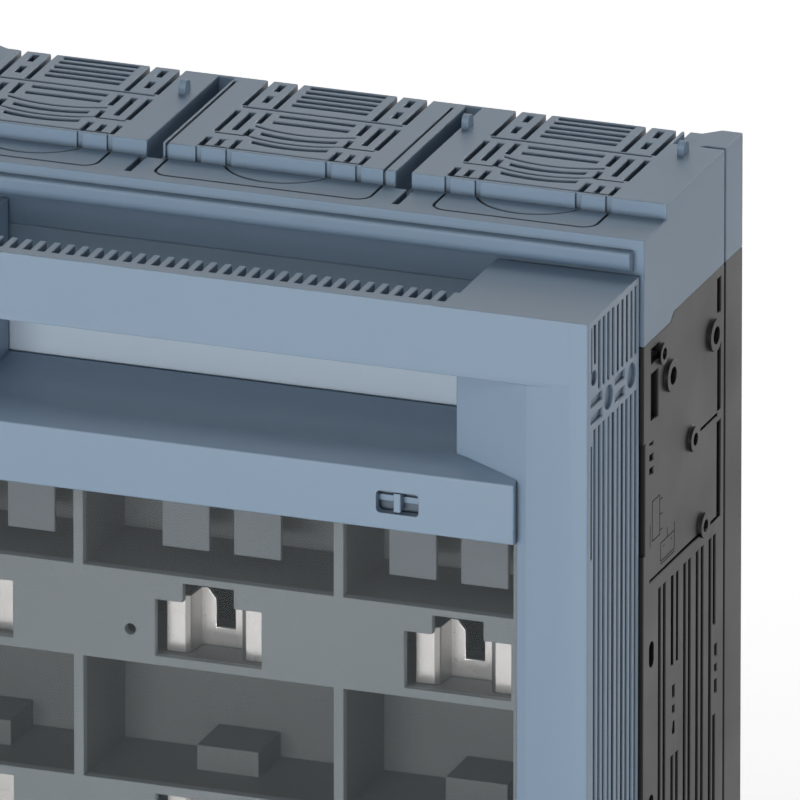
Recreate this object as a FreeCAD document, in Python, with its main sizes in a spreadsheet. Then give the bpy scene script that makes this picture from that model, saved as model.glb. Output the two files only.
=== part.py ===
import FreeCAD, Part
import math
import os
import Sketcher
from FreeCAD import Rotation, Vector

# Driving sizes in millimetres.
# A depth runs back from the face of the grip. A drop runs down from the top of the fuse cover.
# A reach runs up and down from mid height, because the device is mirrored about its middle.
sizes = {
    # whole device
    "housingWidth": 250.4,
    "totalDepth": 135.0,
    "totalHeight": 329.0,
    "polePitch": 80.0,
    # fuse cover, which swings forward about its lower edge
    "coverInset": 1.1,
    "coverDepth": 45.6,
    "coverGap": 1.0,
    "coverWall": 3.0,
    "cheekInner": 78.2,
    "cheekSlantDepth": 11.4,
    "cheekCrease": 104.0,
    "cheekCreaseDepth": 1.6,
    "cheekFaceEdge": 118.0,
    "cheekCornerRadius": 0.8,
    "frameHalf": 100.5,
    # grip bar with its comb of slots
    "gripDrop": 22.2,
    "gripPlate": 5.0,
    "gripBack": 13.8,
    "gripRound": 2.2,
    "combPitch": 4.57,
    "combSlot": 2.3,
    "combSlotDrop": 15.0,
    # finger recess and lower bar
    "scoopFrontDrop": 54.3,
    "scoopMidDrop": 50.8,
    "scoopMidDepth": 10.0,
    "scoopBackDrop": 48.8,
    "scoopWall": 2.5,
    "barDrop": 73.3,
    # grooves and marks in the cheek sides
    "groovePitch": 4.03,
    "grooveFirst": 6.3,
    "grooveSlot": 1.8,
    "grooveCut": 1.2,
    "grooveTopDrop": 2.2,
    "grooveBandTop": 23.6,
    "grooveBandEnd": 35.5,
    "lineDepth": 3.4,
    "lineSlot": 0.8,
    "lineTopEnd": 17.0,
    "lineLowStart": 40.0,
    "lineLowEnd": 76.0,
    "markRadius": 3.9,
    "markDrop": 29.2,
    "markBarHeight": 2.8,
    "markBarOffset": 2.7,
    # latch
    "latchAcross": 63.4,
    "latchDrop": 64.6,
    "latchSlotLength": 13.6,
    "latchSlotHeight": 7.0,
    "latchSlotRadius": 1.3,
    "latchTravel": 4.0,
    "latchPlate": 1.2,
    "latchGuideWall": 1.3,
    "latchRailRise": 1.2,
    "latchRailUp": 1.3,
    "latchRailDown": 0.7,
    "latchThumbHalf": 3.0,
    "latchThumbLeft": 1.3,
    "latchThumbRight": 0.9,
    "latchClear": 0.3,
    "latchWall": 1.6,
    "latchTongue": 2.0,
    # fuse carrier behind the window
    "windowEdge": 1.2,
    "windowPane": 2.0,
    "carrierFront": 7.5,
    "carrierWall": 2.5,
    "carrierRib": 3.2,
    "carrierRibAcross": 41.8,
    "bandTopDrop": 99.7,
    "bandLowDrop": 129.2,
    "carrierTopDrop": 70.0,
    "notchHalf": 8.15,
    "notchTopDrop": 102.0,
    "teeHalf": 17.05,
    "teeTopDrop": 108.1,
    "teeLowDrop": 126.2,
    "chamberBlockHalf": 10.0,
    "chamberBlockDepth": 19.0,
    "chamberBlockRise": 8.0,
    # fuse clips, bent from silvered sheet
    "clipSheet": 1.2,
    "clipFlangeDepth": 13.9,
    "clipPlateDepth": 23.0,
    "clipPlateHalf": 8.1,
    "clipFlangeInner": 9.8,
    "clipFlangeOuter": 15.7,
    "clipNotchHalf": 3.0,
    "clipNotchRise": 5.7,
    "clipTopDrop": 108.2,
    "clipCorner": 2.7,
    "clipCornerDrop": 3.3,
    # blade shields that hang in the outer chambers
    "shieldDepth": 19.2,
    "shieldSheet": 1.6,
    "shieldInner": 3.9,
    "shieldOuter": 19.1,
    "shieldLowDrop": 95.2,
    "shieldShift": 72.8,
    # housing shells
    "plateauRise": 16.0,
    "ledgeRise": 11.0,
    "ledgeBack": 66.5,
    "rearDepth": 15.8,
    "rearLink": 4.0,
    "rearGap": 1.0,
    "rearLinkDrop": 5.0,
    "cornerFlat": 118.7,
    "cornerRamp": 112.2,
    "cornerRise": 1.8,
    "plateauHalf": 108.3,
    "shroudWall": 3.0,
    "frontWallDrop": 8.4,
    "sideDropFront": 23.0,
    "sideDropRear": 20.5,
    "sideStepFront": 70.2,
    "sideStepRear": 73.8,
    "lipDepth": 3.6,
    "lipLowRise": 1.0,
    "lipTopRise": 7.6,
    "lipHalf": 121.8,
    "lipRound": 3.4,
    "lipTopRound": 0.8,
    "seamWidth": 1.2,
    "seamCut": 1.5,
    "troughCut": 10.0,
    "troughHalf": 2.6,
    "troughShift": 1.1,
    "troughEnd": 1.6,
    "troughRib": 2.0,
    "ribLineAcross": 35.0,
    "ribLineEnd": 4.0,
    "finWidth": 2.3,
    "finLength": 4.4,
    "finRise": 4.4,
    "finSetback": 19.7,
    "finInnerAcross": 45.6,
    "finOuterAcross": 114.8,
    # knock-out field of each pole
    "ventSlot": 2.1,
    "ventHalf": 12.15,
    "ventPitch": 4.05,
    "ventLast": 61.1,
    "ventMidFirst": 28.3,
    "ventMidPitch": 5.6,
    "ventArcBulge": 1.9,
    "channelWidth": 1.8,
    "channelInner": 16.05,
    "channelOuter": 25.7,
    "columnSlot": 2.0,
    "columnAcross": 20.9,
    "scoreWidth": 0.9,
    "scoreCut": 1.2,
    "fieldShift": 0.8,
    "fieldLength": 63.5,
    "stepGroove": 0.9,
    "knockRadius": 18.8,
    "knockDepth": 76.0,
    "knockFront": 51.5,
    "knockHalf": 26.5,
    "knockMiddleHalf": 35.0,
    "knockCorner": 5.0,
    "ledgeSlotAcross": 43.0,
    "ledgeSlotWidth": 2.3,
    "ledgeSlotFront": 51.9,
    "ledgeSlotShift": 0.7,
    "ledgeSlotEnd": 0.5,
    # moulded base
    "sideWall": 6.0,
    "partition": 6.0,
    "floorThick": 15.2,
    "barrierShare": 0.23,
    "shelfTopRise": 2.0,
    "coverPlate": 2.0,
    "plateReach": 36.5,
    "bladeSlotHalf": 6.0,
    "bladeSlotReach": 78.0,
    "sideCut": 2.2,
    "sideSlot": 2.0,
    "panelLength": 72.0,
    "bossRise": 1.2,
    "ovalHalf": 2.15,
    "ovalReach": 2.05,
    "edgeNotch": 1.3,
    "edgeNotchTop": 54.4,
    "edgeNotchLow": 90.2,
    # contacts
    "barHalf": 15.0,
    "barThick": 6.0,
    "barReach": 148.0,
    "terminalReach": 134.0,
    "terminalBolt": 6.0,
    "terminalClear": 0.5,
    "barScrewReach": 96.0,
    "screwRadius": 2.5,
    "jawReach": 42.0,
    "jawLength": 30.0,
    "jawSheet": 3.0,
    "jawGapHalf": 2.7,
    "jawFootHalf": 13.0,
    "jawTipShare": 0.545,
    "jawPinchShare": 0.676,
    "springSheet": 1.0,
    "chuteHalf": 31.0,
    "chuteWall": 2.0,
    "chuteShare": 0.514,
    "chutePitchShare": 0.2165,
    "chutePlate": 1.5,
    # rear frame
    "rearPlate": 5.2,
    "rearRecess": 3.0,
    "rearRim": 8.0,
    "rearRib": 4.0,
    "insertAcross": 95.0,
    "insertReach": 100.0,
    "insertBore": 3.4,
    "insertRadius": 6.0,
    "insertLength": 12.0,
    "rearScrewReach": 88.0,
    # hinge
    "hingeInset": 7.6,
    "hingePin": 2.5,
    "hingeClear": 0.05,
    "hingeAcross": 60.0,
    "hingeEarHalf": 8.0,
    "hingeEarRadius": 6.0,
    "hingeLug": 5.5,
    "hingeSideClear": 0.5,
    "bracketPlate": 3.0,
    "bracketTop": 60.0,
}

poles = {"left": -1, "middle": 0, "right": 1}
combSlots = 34
sideGrooves = 10
rearVents = 5
midVents = 2
chutePlates = 4

doc = FreeCAD.newDocument("fuse_switch_disconnector")
sheet = doc.addObject("Spreadsheet::Sheet", "Sizes")
for row, (alias, number) in enumerate(sizes.items(), start=1):
    sheet.set(f"A{row}", alias)
    sheet.set(f"B{row}", str(number))
    sheet.setAlias(f"B{row}", alias)
doc.recompute()


class Size:
    """A number that also knows the sheet expression it comes from."""

    def __init__(self, value, text):
        self.value = value
        self.text = text

    def __add__(self, other):
        other = size(other)
        return Size(self.value + other.value, f"({self.text} + {other.text})")

    def __sub__(self, other):
        other = size(other)
        return Size(self.value - other.value, f"({self.text} - {other.text})")

    def __mul__(self, other):
        other = size(other)
        return Size(self.value * other.value, f"({self.text} * {other.text})")

    def __truediv__(self, other):
        other = size(other)
        return Size(self.value / other.value, f"({self.text} / {other.text})")

    def __neg__(self):
        return Size(-self.value, f"(0 - {self.text})")

    def __radd__(self, other):
        return size(other) + self

    def __rsub__(self, other):
        return size(other) - self

    def __rmul__(self, other):
        return size(other) * self


def size(item):
    """A plain number as a Size."""
    if isinstance(item, Size):
        return item
    return Size(float(item), f"({float(item):.6g})")


class Cells:
    """Each cell of the sheet, by its alias."""

    def __getattr__(self, alias):
        return Size(float(sizes[alias]), f"Sizes.{alias}")


S = Cells()
parts = []

half = S.housingWidth / 2
middle = S.totalHeight / 2
coverHalf = half - S.coverInset
frontPlane = S.coverDepth + S.coverGap
coverTop = S.totalHeight - S.plateauRise
plateauBack = S.totalDepth - S.rearLink - S.rearGap
finDepth = plateauBack - S.finSetback
seamDepth = S.totalDepth - S.rearDepth
seamFront = seamDepth - S.seamWidth / 2
seamBack = seamDepth + S.seamWidth / 2
floorFront = seamDepth - S.floorThick
barFront = floorFront - S.barThick
contactFront = frontPlane + S.coverPlate
contactRoom = barFront - contactFront
barrierFront = contactFront + contactRoom * S.barrierShare
jawTip = contactFront + contactRoom * S.jawTipShare
jawPinch = contactFront + contactRoom * S.jawPinchShare
chuteBack = contactFront + contactRoom * S.chuteShare
chutePitch = (chuteBack - contactFront) * S.chutePitchShare
beyond = 1.0


def below(drop):
    """Height of a point that lies this far under the cover's top."""
    return coverTop - drop


def flip(height):
    """The same height seen from the other end."""
    return S.totalHeight - height


def bind(item, prop, amount):
    """Tie a property to its sheet expression."""
    item.setExpression(prop, size(amount).text)


def place(item, across=0, depth=0, height=0):
    """Tie where a primitive stands."""
    bind(item, "Placement.Base.x", across)
    bind(item, "Placement.Base.y", size(depth) - S.totalDepth / 2)
    bind(item, "Placement.Base.z", height)


def block(name, across, depth, height):
    """A box between two places in each direction."""
    box = doc.addObject("Part::Box", name)
    bind(box, "Length", size(across[1]) - across[0])
    bind(box, "Width", size(depth[1]) - depth[0])
    bind(box, "Height", size(height[1]) - height[0])
    place(box, across[0], depth[0], height[0])
    return box


def rod(name, radius, start, length, along):
    """A round bar from a start point (across, depth, height) along x, y or z."""
    cylinder = doc.addObject("Part::Cylinder", name)
    bind(cylinder, "Radius", radius)
    bind(cylinder, "Height", length)
    turns = {"x": (Vector(0, 1, 0), 90), "y": (Vector(1, 0, 0), -90), "z": (Vector(0, 0, 1), 0)}
    cylinder.Placement.Rotation = Rotation(*turns[along])
    place(cylinder, *start)
    return cylinder


def fuse(name, pieces):
    """All pieces as one solid."""
    if len(pieces) == 1:
        return pieces[0]
    union = doc.addObject("Part::MultiFuse", name)
    union.Shapes = pieces
    union.Refine = True
    return union


def group(name, pieces):
    """Separate solids kept together."""
    bundle = doc.addObject("Part::Compound", name)
    bundle.Links = pieces
    return bundle


def cut(name, base, tools):
    """The base without its tools."""
    result = doc.addObject("Part::Cut", name)
    result.Base = base
    result.Tool = fuse(name + "_tools", tools)
    result.Refine = True
    return result


def common(name, first, second):
    """What two pieces share."""
    result = doc.addObject("Part::Common", name)
    result.Base = first
    result.Tool = second
    return result


def mirrored(name, source, across=False):
    """The source mirrored about mid height, or about the middle pole."""
    copy = doc.addObject("Part::Mirroring", name)
    copy.Source = source
    copy.Normal = Vector(1, 0, 0) if across else Vector(0, 0, 1)
    if not across:
        bind(copy, "Base.z", middle)
    return copy


def keep(node, item):
    """Name a finished piece."""
    item.Label = node
    parts.append(item)
    return item


def origin_plane(body, role):
    """One of a body's own origin planes."""
    return [item for item in body.Origin.OriginFeatures if item.Role == role][0]


def sketch(body, role, offset):
    """An empty sketch on an origin plane, moved along its normal."""
    drawing = body.newObject("Sketcher::SketchObject", body.Name + "_sketch")
    drawing.AttachmentSupport = [(origin_plane(body, role), "")]
    drawing.MapMode = "FlatFace"
    bind(drawing, "AttachmentOffset.Base.z", offset)
    return drawing


def outline(drawing, points):
    """A closed outline whose corners are tied to the sheet."""
    first = drawing.GeometryCount
    count = len(points)
    corners = [Vector(size(u).value, size(v).value, 0) for u, v in points]
    lines = [Part.LineSegment(corners[i], corners[(i + 1) % count]) for i in range(count)]
    drawing.addGeometry(lines, False)
    ties = []
    for i in range(count):
        ties.append(Sketcher.Constraint("Coincident", first + i, 2, first + (i + 1) % count, 1))
    for i, corner in enumerate(corners):
        ties.append(Sketcher.Constraint("DistanceX", -1, 1, first + i, 1, corner.x))
        ties.append(Sketcher.Constraint("DistanceY", -1, 1, first + i, 1, corner.y))
    start = drawing.addConstraint(ties)[0] + count
    for i, point in enumerate(points):
        for j in range(2):
            bind(drawing, f"Constraints[{start + 2 * i + j}]", point[j])


def circle(drawing, u, v, radius):
    """A circle whose centre and radius are tied to the sheet."""
    index = drawing.GeometryCount
    centre = Vector(size(u).value, size(v).value, 0)
    drawing.addGeometry(Part.Circle(centre, Vector(0, 0, 1), size(radius).value), False)
    ties = [
        Sketcher.Constraint("DistanceX", -1, 1, index, 3, centre.x),
        Sketcher.Constraint("DistanceY", -1, 1, index, 3, centre.y),
        Sketcher.Constraint("Radius", index, size(radius).value),
    ]
    start = drawing.addConstraint(ties)[0]
    for j, amount in enumerate((u, v, radius)):
        bind(drawing, f"Constraints[{start + j}]", amount)


def frame_depth(depth):
    """A depth behind the grip face as a place along y."""
    return size(depth) - S.totalDepth / 2


def plan(points):
    """Points (across, depth) for a sketch seen from above."""
    return [(u, frame_depth(v)) for u, v in points]


def side(points):
    """Points (depth, height) for a sketch seen from the side."""
    return [(frame_depth(u), v) for u, v in points]


def new_body(name):
    """An empty body."""
    return doc.addObject("PartDesign::Body", name)


def feature(body, kind, drawing, length):
    """A pad or pocket of a sketch, along the sketch's normal."""
    step = body.newObject(f"PartDesign::{kind}", f"{body.Name}_{kind}")
    step.Profile = drawing
    bind(step, "Length", length)
    step.Reversed = kind == "Pocket"
    return step


def pad(body, role, outlines, low, high, kind="Pad", circles=()):
    """Outlines and circles swept between two places along the plane's axis."""
    toward_front = role == "XZ_Plane"
    drawing = sketch(body, role, -size(high) if toward_front else low)
    for points in outlines:
        outline(drawing, points)
    for u, v, radius in circles:
        circle(drawing, u, v, radius)
    step = feature(body, kind, drawing, size(high) - low)
    doc.recompute()
    return step


def rounded(body, radius, pick):
    """A fillet on the edges that pick chooses by their middle point."""
    tip = body.Tip
    names = []
    for number, edge in enumerate(tip.Shape.Edges, start=1):
        if edge.Length > 0 and pick(edge, edge.CenterOfMass):
            names.append(f"Edge{number}")
    step = body.newObject("PartDesign::Fillet", body.Name + "_fillet")
    step.Base = (tip, names)
    bind(step, "Radius", radius)
    doc.recompute()
    return step


def repeat(body, step, role, length, count):
    """Copies of a feature in a row along one origin axis."""
    row_of = body.newObject("PartDesign::LinearPattern", body.Name + "_row")
    row_of.Originals = [step]
    axis = [item for item in body.Origin.OriginFeatures if item.Role == role][0]
    row_of.Direction = (axis, [""])
    bind(row_of, "Length", length)
    row_of.Occurrences = count
    body.Tip = row_of
    doc.recompute()
    return row_of


def near(first, second):
    """Two coordinates that agree."""
    return abs(first - second) < 0.01


# Shells of the housing

def shroud_side(lower_wall, top_gap):
    """Side outline of the upper shroud, set in by a wall all round."""
    front = frontPlane + lower_wall
    step = S.ledgeBack + lower_wall
    return side([
        (front, below(S.sideDropFront) - top_gap),
        (front, coverTop + S.ledgeRise - lower_wall),
        (step, coverTop + S.ledgeRise - lower_wall),
        (step, coverTop + S.plateauRise - lower_wall),
        (seamFront + top_gap, coverTop + S.plateauRise - lower_wall),
        (seamFront + top_gap, below(S.sideDropRear) - top_gap),
        (S.sideStepRear, below(S.sideDropRear) - top_gap),
        (S.sideStepFront, below(S.sideDropFront) - top_gap),
    ])


def field(offset):
    """Depth of a place in the slot field, by its distance behind the step."""
    return S.ledgeBack + (plateauBack - S.ledgeBack) * (size(offset) / S.fieldLength)


def plateau_slots(centre):
    """The vents and knock-out slots of one pole, through the top wall."""
    top = coverTop + S.plateauRise
    through = (top - S.shroudWall - beyond, top + beyond)
    score = (top - S.scoreCut, top + beyond)
    to_ledge = (coverTop + S.ledgeRise + 0.01, top + beyond)
    tools = []
    offsets = [S.ventLast - S.ventPitch * i for i in range(rearVents)]
    offsets += [S.ventMidFirst + S.ventMidPitch * i for i in range(midVents)]
    for offset in offsets:
        depth = field(offset)
        tools.append(block("vent", (centre - S.ventHalf, centre + S.ventHalf),
                           (depth - S.ventSlot / 2, depth + S.ventSlot / 2), through))
    inner_runs = ((1.6, 10.0), (14.5, 20.5), (26.0, 35.8), (40.0, 65.0))
    outer_runs = ((1.6, 9.5), (15.5, 35.0), (40.0, 65.0))
    column_runs = ((2.5, 8.9), (18.1, 34.5), (44.3, 50.3), (54.9, 60.9))
    for hand in (-1, 1):
        for across, runs in ((S.channelInner, inner_runs), (S.channelOuter, outer_runs)):
            low = centre + hand * across - S.channelWidth / 2
            tools.append(block("step_groove", (low, low + S.channelWidth),
                               (S.ledgeBack - beyond, S.ledgeBack + S.stepGroove), to_ledge))
            for start, end in runs:
                tools.append(block("channel", (low, low + S.channelWidth), (field(start), field(end)),
                                   through))
        low = centre + hand * S.columnAcross - S.columnSlot / 2
        for start, end in column_runs:
            tools.append(block("column_slot", (low, low + S.columnSlot), (field(start), field(end)),
                               through))
        inner = centre + hand * S.channelInner
        outer = centre + hand * S.channelOuter
        edges = (inner, outer) if hand > 0 else (outer, inner)
        for offset in (13.5, 38.1):
            tools.append(block("score", edges, (field(offset), field(offset) + S.scoreWidth), score))
    for offset, reach in ((1.4, S.channelOuter), (38.1, S.channelInner)):
        tools.append(block("score", (centre - reach, centre + reach),
                           (field(offset), field(offset) + S.scoreWidth), score))
    for offset, reach, wide, height in ((9.7, S.ventHalf, S.ventSlot, through),
                                        (17.7, S.ventHalf, S.ventSlot, through),
                                        (13.3, S.channelInner, S.scoreWidth, score),
                                        (22.1, S.channelInner, S.scoreWidth, score)):
        tools.append(bowed_slot(centre, field(offset), reach, wide, height))
    return tools


def bowed_slot(centre, depth, reach, wide, height):
    """A slot that bows forward between the two inner channels."""
    radius = (S.ventHalf * S.ventHalf + S.ventArcBulge * S.ventArcBulge) / (S.ventArcBulge * 2)
    back = radius + depth - S.ventArcBulge
    length = height[1] - height[0]
    ring = cut("bow", rod("bow_out", radius + wide / 2, (centre, back, height[0]), length, "z"),
               [rod("bow_in", radius - wide / 2, (centre, back, height[0]), length, "z")])
    window = block("bow_window", (centre - reach, centre + reach),
                   (size(depth) - S.ventArcBulge * 3, size(depth) + S.ventArcBulge * 3), height)
    return common("bow_slot", ring, window)


def ledge_scores(centre, reach):
    """The knock-out outline that is scored into the ledge of one pole."""
    top = coverTop + S.ledgeRise
    height = (top - S.scoreCut, top + beyond)
    length = height[1] - height[0]
    wide = S.scoreWidth
    ring = cut("knock", rod("knock_out", S.knockRadius + wide / 2,
                            (centre, S.knockDepth, height[0]), length, "z"),
               [rod("knock_in", S.knockRadius - wide / 2,
                    (centre, S.knockDepth, height[0]), length, "z")])
    window = block("knock_window", (centre - S.knockRadius - beyond, centre + S.knockRadius + beyond),
                   (S.knockFront + wide * 2, S.ledgeBack), height)
    tools = [common("knock_arc", ring, window)]
    straight = reach - S.knockCorner
    tools.append(block("knock_front", (centre - straight, centre + straight),
                       (S.knockFront, S.knockFront + wide), height))
    for hand in (-1, 1):
        side_low = centre + hand * (reach - wide / 2) - wide / 2
        tools.append(block("knock_side", (side_low, side_low + wide),
                           (S.knockFront + S.knockCorner, S.ledgeBack), height))
        corner = (centre + hand * straight, S.knockFront + S.knockCorner, height[0])
        bend = cut("knock_bend", rod("bend_out", S.knockCorner, corner, length, "z"),
                   [rod("bend_in", S.knockCorner - wide, corner, length, "z")])
        edges = (corner[0], corner[0] + S.knockCorner)
        if hand < 0:
            edges = (corner[0] - S.knockCorner, corner[0])
        tools.append(common("knock_corner", bend, block("bend_window", edges,
                                                        (S.knockFront, corner[1]), height)))
    return tools


def terminal_shrouds():
    """The vented end caps, each one moulding, with the cable knock-outs of every pole."""
    body = new_body("shroud")
    pad(body, "YZ_Plane", [shroud_side(size(0), size(0))], -half, half)
    pad(body, "YZ_Plane", [shroud_side(S.shroudWall, size(beyond))],
        -half + S.shroudWall, half - S.shroudWall, "Pocket")
    top = coverTop + S.plateauRise
    skirt = block("front_skirt", (-half + S.shroudWall, half - S.shroudWall),
                  (frontPlane - beyond, frontPlane + S.shroudWall + beyond),
                  (below(S.sideDropFront) - beyond, below(S.frontWallDrop)))
    added = [cut("shroud_front", body, [skirt])]
    added.append(block("plateau", (-S.plateauHalf, S.plateauHalf),
                       (seamFront - beyond, plateauBack), (top - S.shroudWall, top)))
    troughs = []
    for hand in (-1, 1):
        centre = hand * S.polePitch / 2 + S.troughShift
        reach = S.troughHalf + S.troughRib
        added.append(block("trough_wall", (centre - reach, centre + reach),
                           (S.ledgeBack, plateauBack), (top - S.troughCut - S.troughRib, top - beyond)))
        troughs.append(block("trough", (centre - S.troughHalf, centre + S.troughHalf),
                             (S.ledgeBack - beyond, plateauBack - S.troughEnd),
                             (top - S.troughCut, top + beyond)))
        low = hand * S.ledgeSlotAcross + S.ledgeSlotShift - S.ledgeSlotWidth / 2
        troughs.append(block("ledge_slot", (low, low + S.ledgeSlotWidth),
                             (S.ledgeSlotFront, S.ledgeBack - S.ledgeSlotEnd),
                             (coverTop + S.ledgeRise - S.shroudWall - beyond,
                              coverTop + S.ledgeRise + beyond)))
        troughs += rib_lines(hand)
    tools = list(troughs)
    for hand in poles.values():
        centre = S.polePitch * hand
        tools += plateau_slots(centre + S.fieldShift)
        if hand:
            tools += ledge_scores(centre + S.fieldShift, S.knockHalf)
        else:
            tools += ledge_scores(centre, S.knockMiddleHalf)
    plain = cut("shroud_plain", fuse("shroud_joined", added), tools)
    keep("lower_terminal_shroud", mirrored("lower_shroud", plain))
    keep("upper_terminal_shroud", fuse("upper_shroud", [plain, lip_bar()] + locating_fins()))


def rib_lines(hand):
    """The line beside a trough, along the plateau and down its front step."""
    top = coverTop + S.plateauRise
    low = hand * S.ribLineAcross - S.scoreWidth / 2
    edges = (low, low + S.scoreWidth)
    return [block("rib_line", edges, (S.ledgeBack - beyond, plateauBack - S.ribLineEnd),
                  (top - S.scoreCut, top + beyond)),
            block("rib_line_step", edges, (S.ledgeBack - beyond, S.ledgeBack + S.stepGroove),
                  (coverTop + S.ledgeRise + 0.01, top))]


def lip_bar():
    """The rounded bar that stands out over the cover's top edge."""
    body = new_body("lip")
    low = coverTop + S.lipLowRise
    high = coverTop + S.lipTopRise
    pad(body, "YZ_Plane", [side([(frontPlane - S.lipDepth, low), (frontPlane + beyond, low),
                                 (frontPlane + beyond, high), (frontPlane - S.lipDepth, high)])],
        -S.lipHalf, S.lipHalf)
    front = frame_depth(frontPlane - S.lipDepth).value
    bottom = low.value
    rounded(body, S.lipRound, lambda edge, at: near(at.y, front) and near(at.x, 0) and near(at.z, bottom))
    rounded(body, S.lipTopRound, lambda edge, at: near(at.y, front) and near(at.x, 0))
    return body


def locating_fins():
    """Small rounded tabs that locate a barrier on the upper plateau."""
    top = coverTop + S.plateauRise
    fins = []
    for across in (S.finInnerAcross, S.finOuterAcross):
        for hand in (-1, 1):
            low = hand * across - S.finWidth / 2
            straight = S.finRise - S.finLength / 2
            fins.append(block("fin_stem", (low, low + S.finWidth),
                              (finDepth - S.finLength / 2, finDepth + S.finLength / 2),
                              (top - beyond, top + straight)))
            fins.append(rod("fin_round", S.finLength / 2, (low, finDepth, top + straight), S.finWidth, "x"))
    return fins


def rear_covers():
    """The blue strips behind the shrouds, with a raised block at each corner."""
    low = below(S.sideDropRear)
    top = coverTop + S.plateauRise
    link = block("rear_link", (-half, half), (plateauBack + S.rearGap, S.totalDepth),
                 (low, top - S.rearLinkDrop))
    floor = block("rear_sill", (-half, half), (seamBack, S.totalDepth), (low, low + S.shroudWall))
    pieces = [link, floor]
    for hand in (-1, 1):
        body = new_body("corner")
        edge = hand * half
        ramp = top - S.cornerRise
        pad(body, "XZ_Plane", [[(edge, low), (edge, top), (hand * S.cornerFlat, top),
                                (hand * S.cornerRamp, ramp), (hand * S.plateauHalf, ramp),
                                (hand * S.plateauHalf, low)]],
            frame_depth(seamBack), frame_depth(S.totalDepth))
        pieces.append(body)
    upper = fuse("upper_rear", pieces)
    keep("upper_rear_cover", upper)
    keep("lower_rear_cover", mirrored("lower_rear", upper))


def panel(offset):
    """Depth of a place in the side wall, by its distance behind the front plane."""
    return frontPlane + (seamFront - frontPlane) * (size(offset) / S.panelLength)


def rivet_places():
    """Place, drop, radius and bore of the round bosses on the sides."""
    return ((panel(23.2), 39.7, 5.1, 2.8), (panel(61.9), 40.0, 5.1, 2.8), (panel(43.3), 67.0, 3.95, 2.0),
            (panel(52.7), 98.0, 3.95, 2.0), (panel(15.3), 30.0, 3.4, 1.9))


def side_bosses():
    """The round bosses that stand out from both sides, and the bores in them."""
    bosses = []
    bores = []
    for depth, drop, radius, bore in rivet_places():
        for height in (below(drop), flip(below(drop))):
            for start in (half - beyond, -half - S.bossRise):
                bosses.append(rod("side_boss", radius, (start, depth, height), S.bossRise + beyond, "x"))
            for start in (half - S.sideCut, -half - S.bossRise - beyond):
                bores.append(rod("boss_bore", bore, (start, depth, height),
                                 S.sideCut + S.bossRise + beyond, "x"))
    return bosses, bores


def side_reliefs():
    """Slots and vents in the right side wall, above and below mid height."""
    face = (half - S.sideCut, half + beyond)
    upper = []
    for start, end, high, low in ((6.4, 13.9, 25.8, 30.7), (6.4, 12.9, 33.9, 49.0),
                                  (65.7, 69.0, 23.5, 34.5), (65.7, 69.0, 45.0, 66.0),
                                  (65.7, 69.0, 69.5, 100.5), (50.8, 66.0, 66.2, 67.4),
                                  (5.4, 66.0, 99.4, 100.6), (5.4, 8.6, 55.7, 56.6),
                                  (5.4, 8.6, 59.5, 61.6), (5.4, 8.6, 63.8, 65.9)):
        upper.append(block("side_slot", face, (panel(start), panel(end)), (below(low), below(high))))
    upper.append(block("edge_notch", (half - S.sideWall, half + beyond),
                       (frontPlane - beyond, frontPlane + S.edgeNotch),
                       (below(S.edgeNotchLow), below(S.edgeNotchTop))))
    ends = fuse("side_upper", upper)
    slot = S.sideSlot / 2
    vents = []
    for offset in (14.6, 18.9, 37.1, 41.4, 48.3, 52.8, 59.8):
        vents.append(block("vent_long", face, (panel(offset) - slot, panel(offset) + slot),
                           (flip(below(105.0)), below(105.0))))
    for offset in (26.0, 30.3, 63.7):
        edges = (panel(offset) - slot, panel(offset) + slot)
        vents.append(block("vent_high", face, edges, (below(133.8), below(105.0))))
        vents.append(block("vent_low", face, edges, (flip(below(105.0)), flip(below(133.8)))))
    for offset in (27.3, 65.2):
        for high, low in ((140.7, 144.5), (147.2, 149.5), (152.2, 156.4)):
            vents.append(block("vent_dash", face, (panel(offset) - slot, panel(offset) + slot),
                               (below(low), below(high))))
    reach = middle - below(123.8)
    for hand in (-1, 1):
        centre = middle + hand * reach
        at = panel(7.3)
        vents.append(block("side_oval", face, (at - S.ovalHalf, at + S.ovalHalf),
                           (centre - S.ovalReach, centre + S.ovalReach)))
        for end in (-1, 1):
            vents.append(rod("oval_end", S.ovalHalf, (half - S.sideCut, at, centre + end * S.ovalReach),
                             S.sideCut + beyond, "x"))
    return [ends, mirrored("side_lower", ends)] + vents


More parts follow.
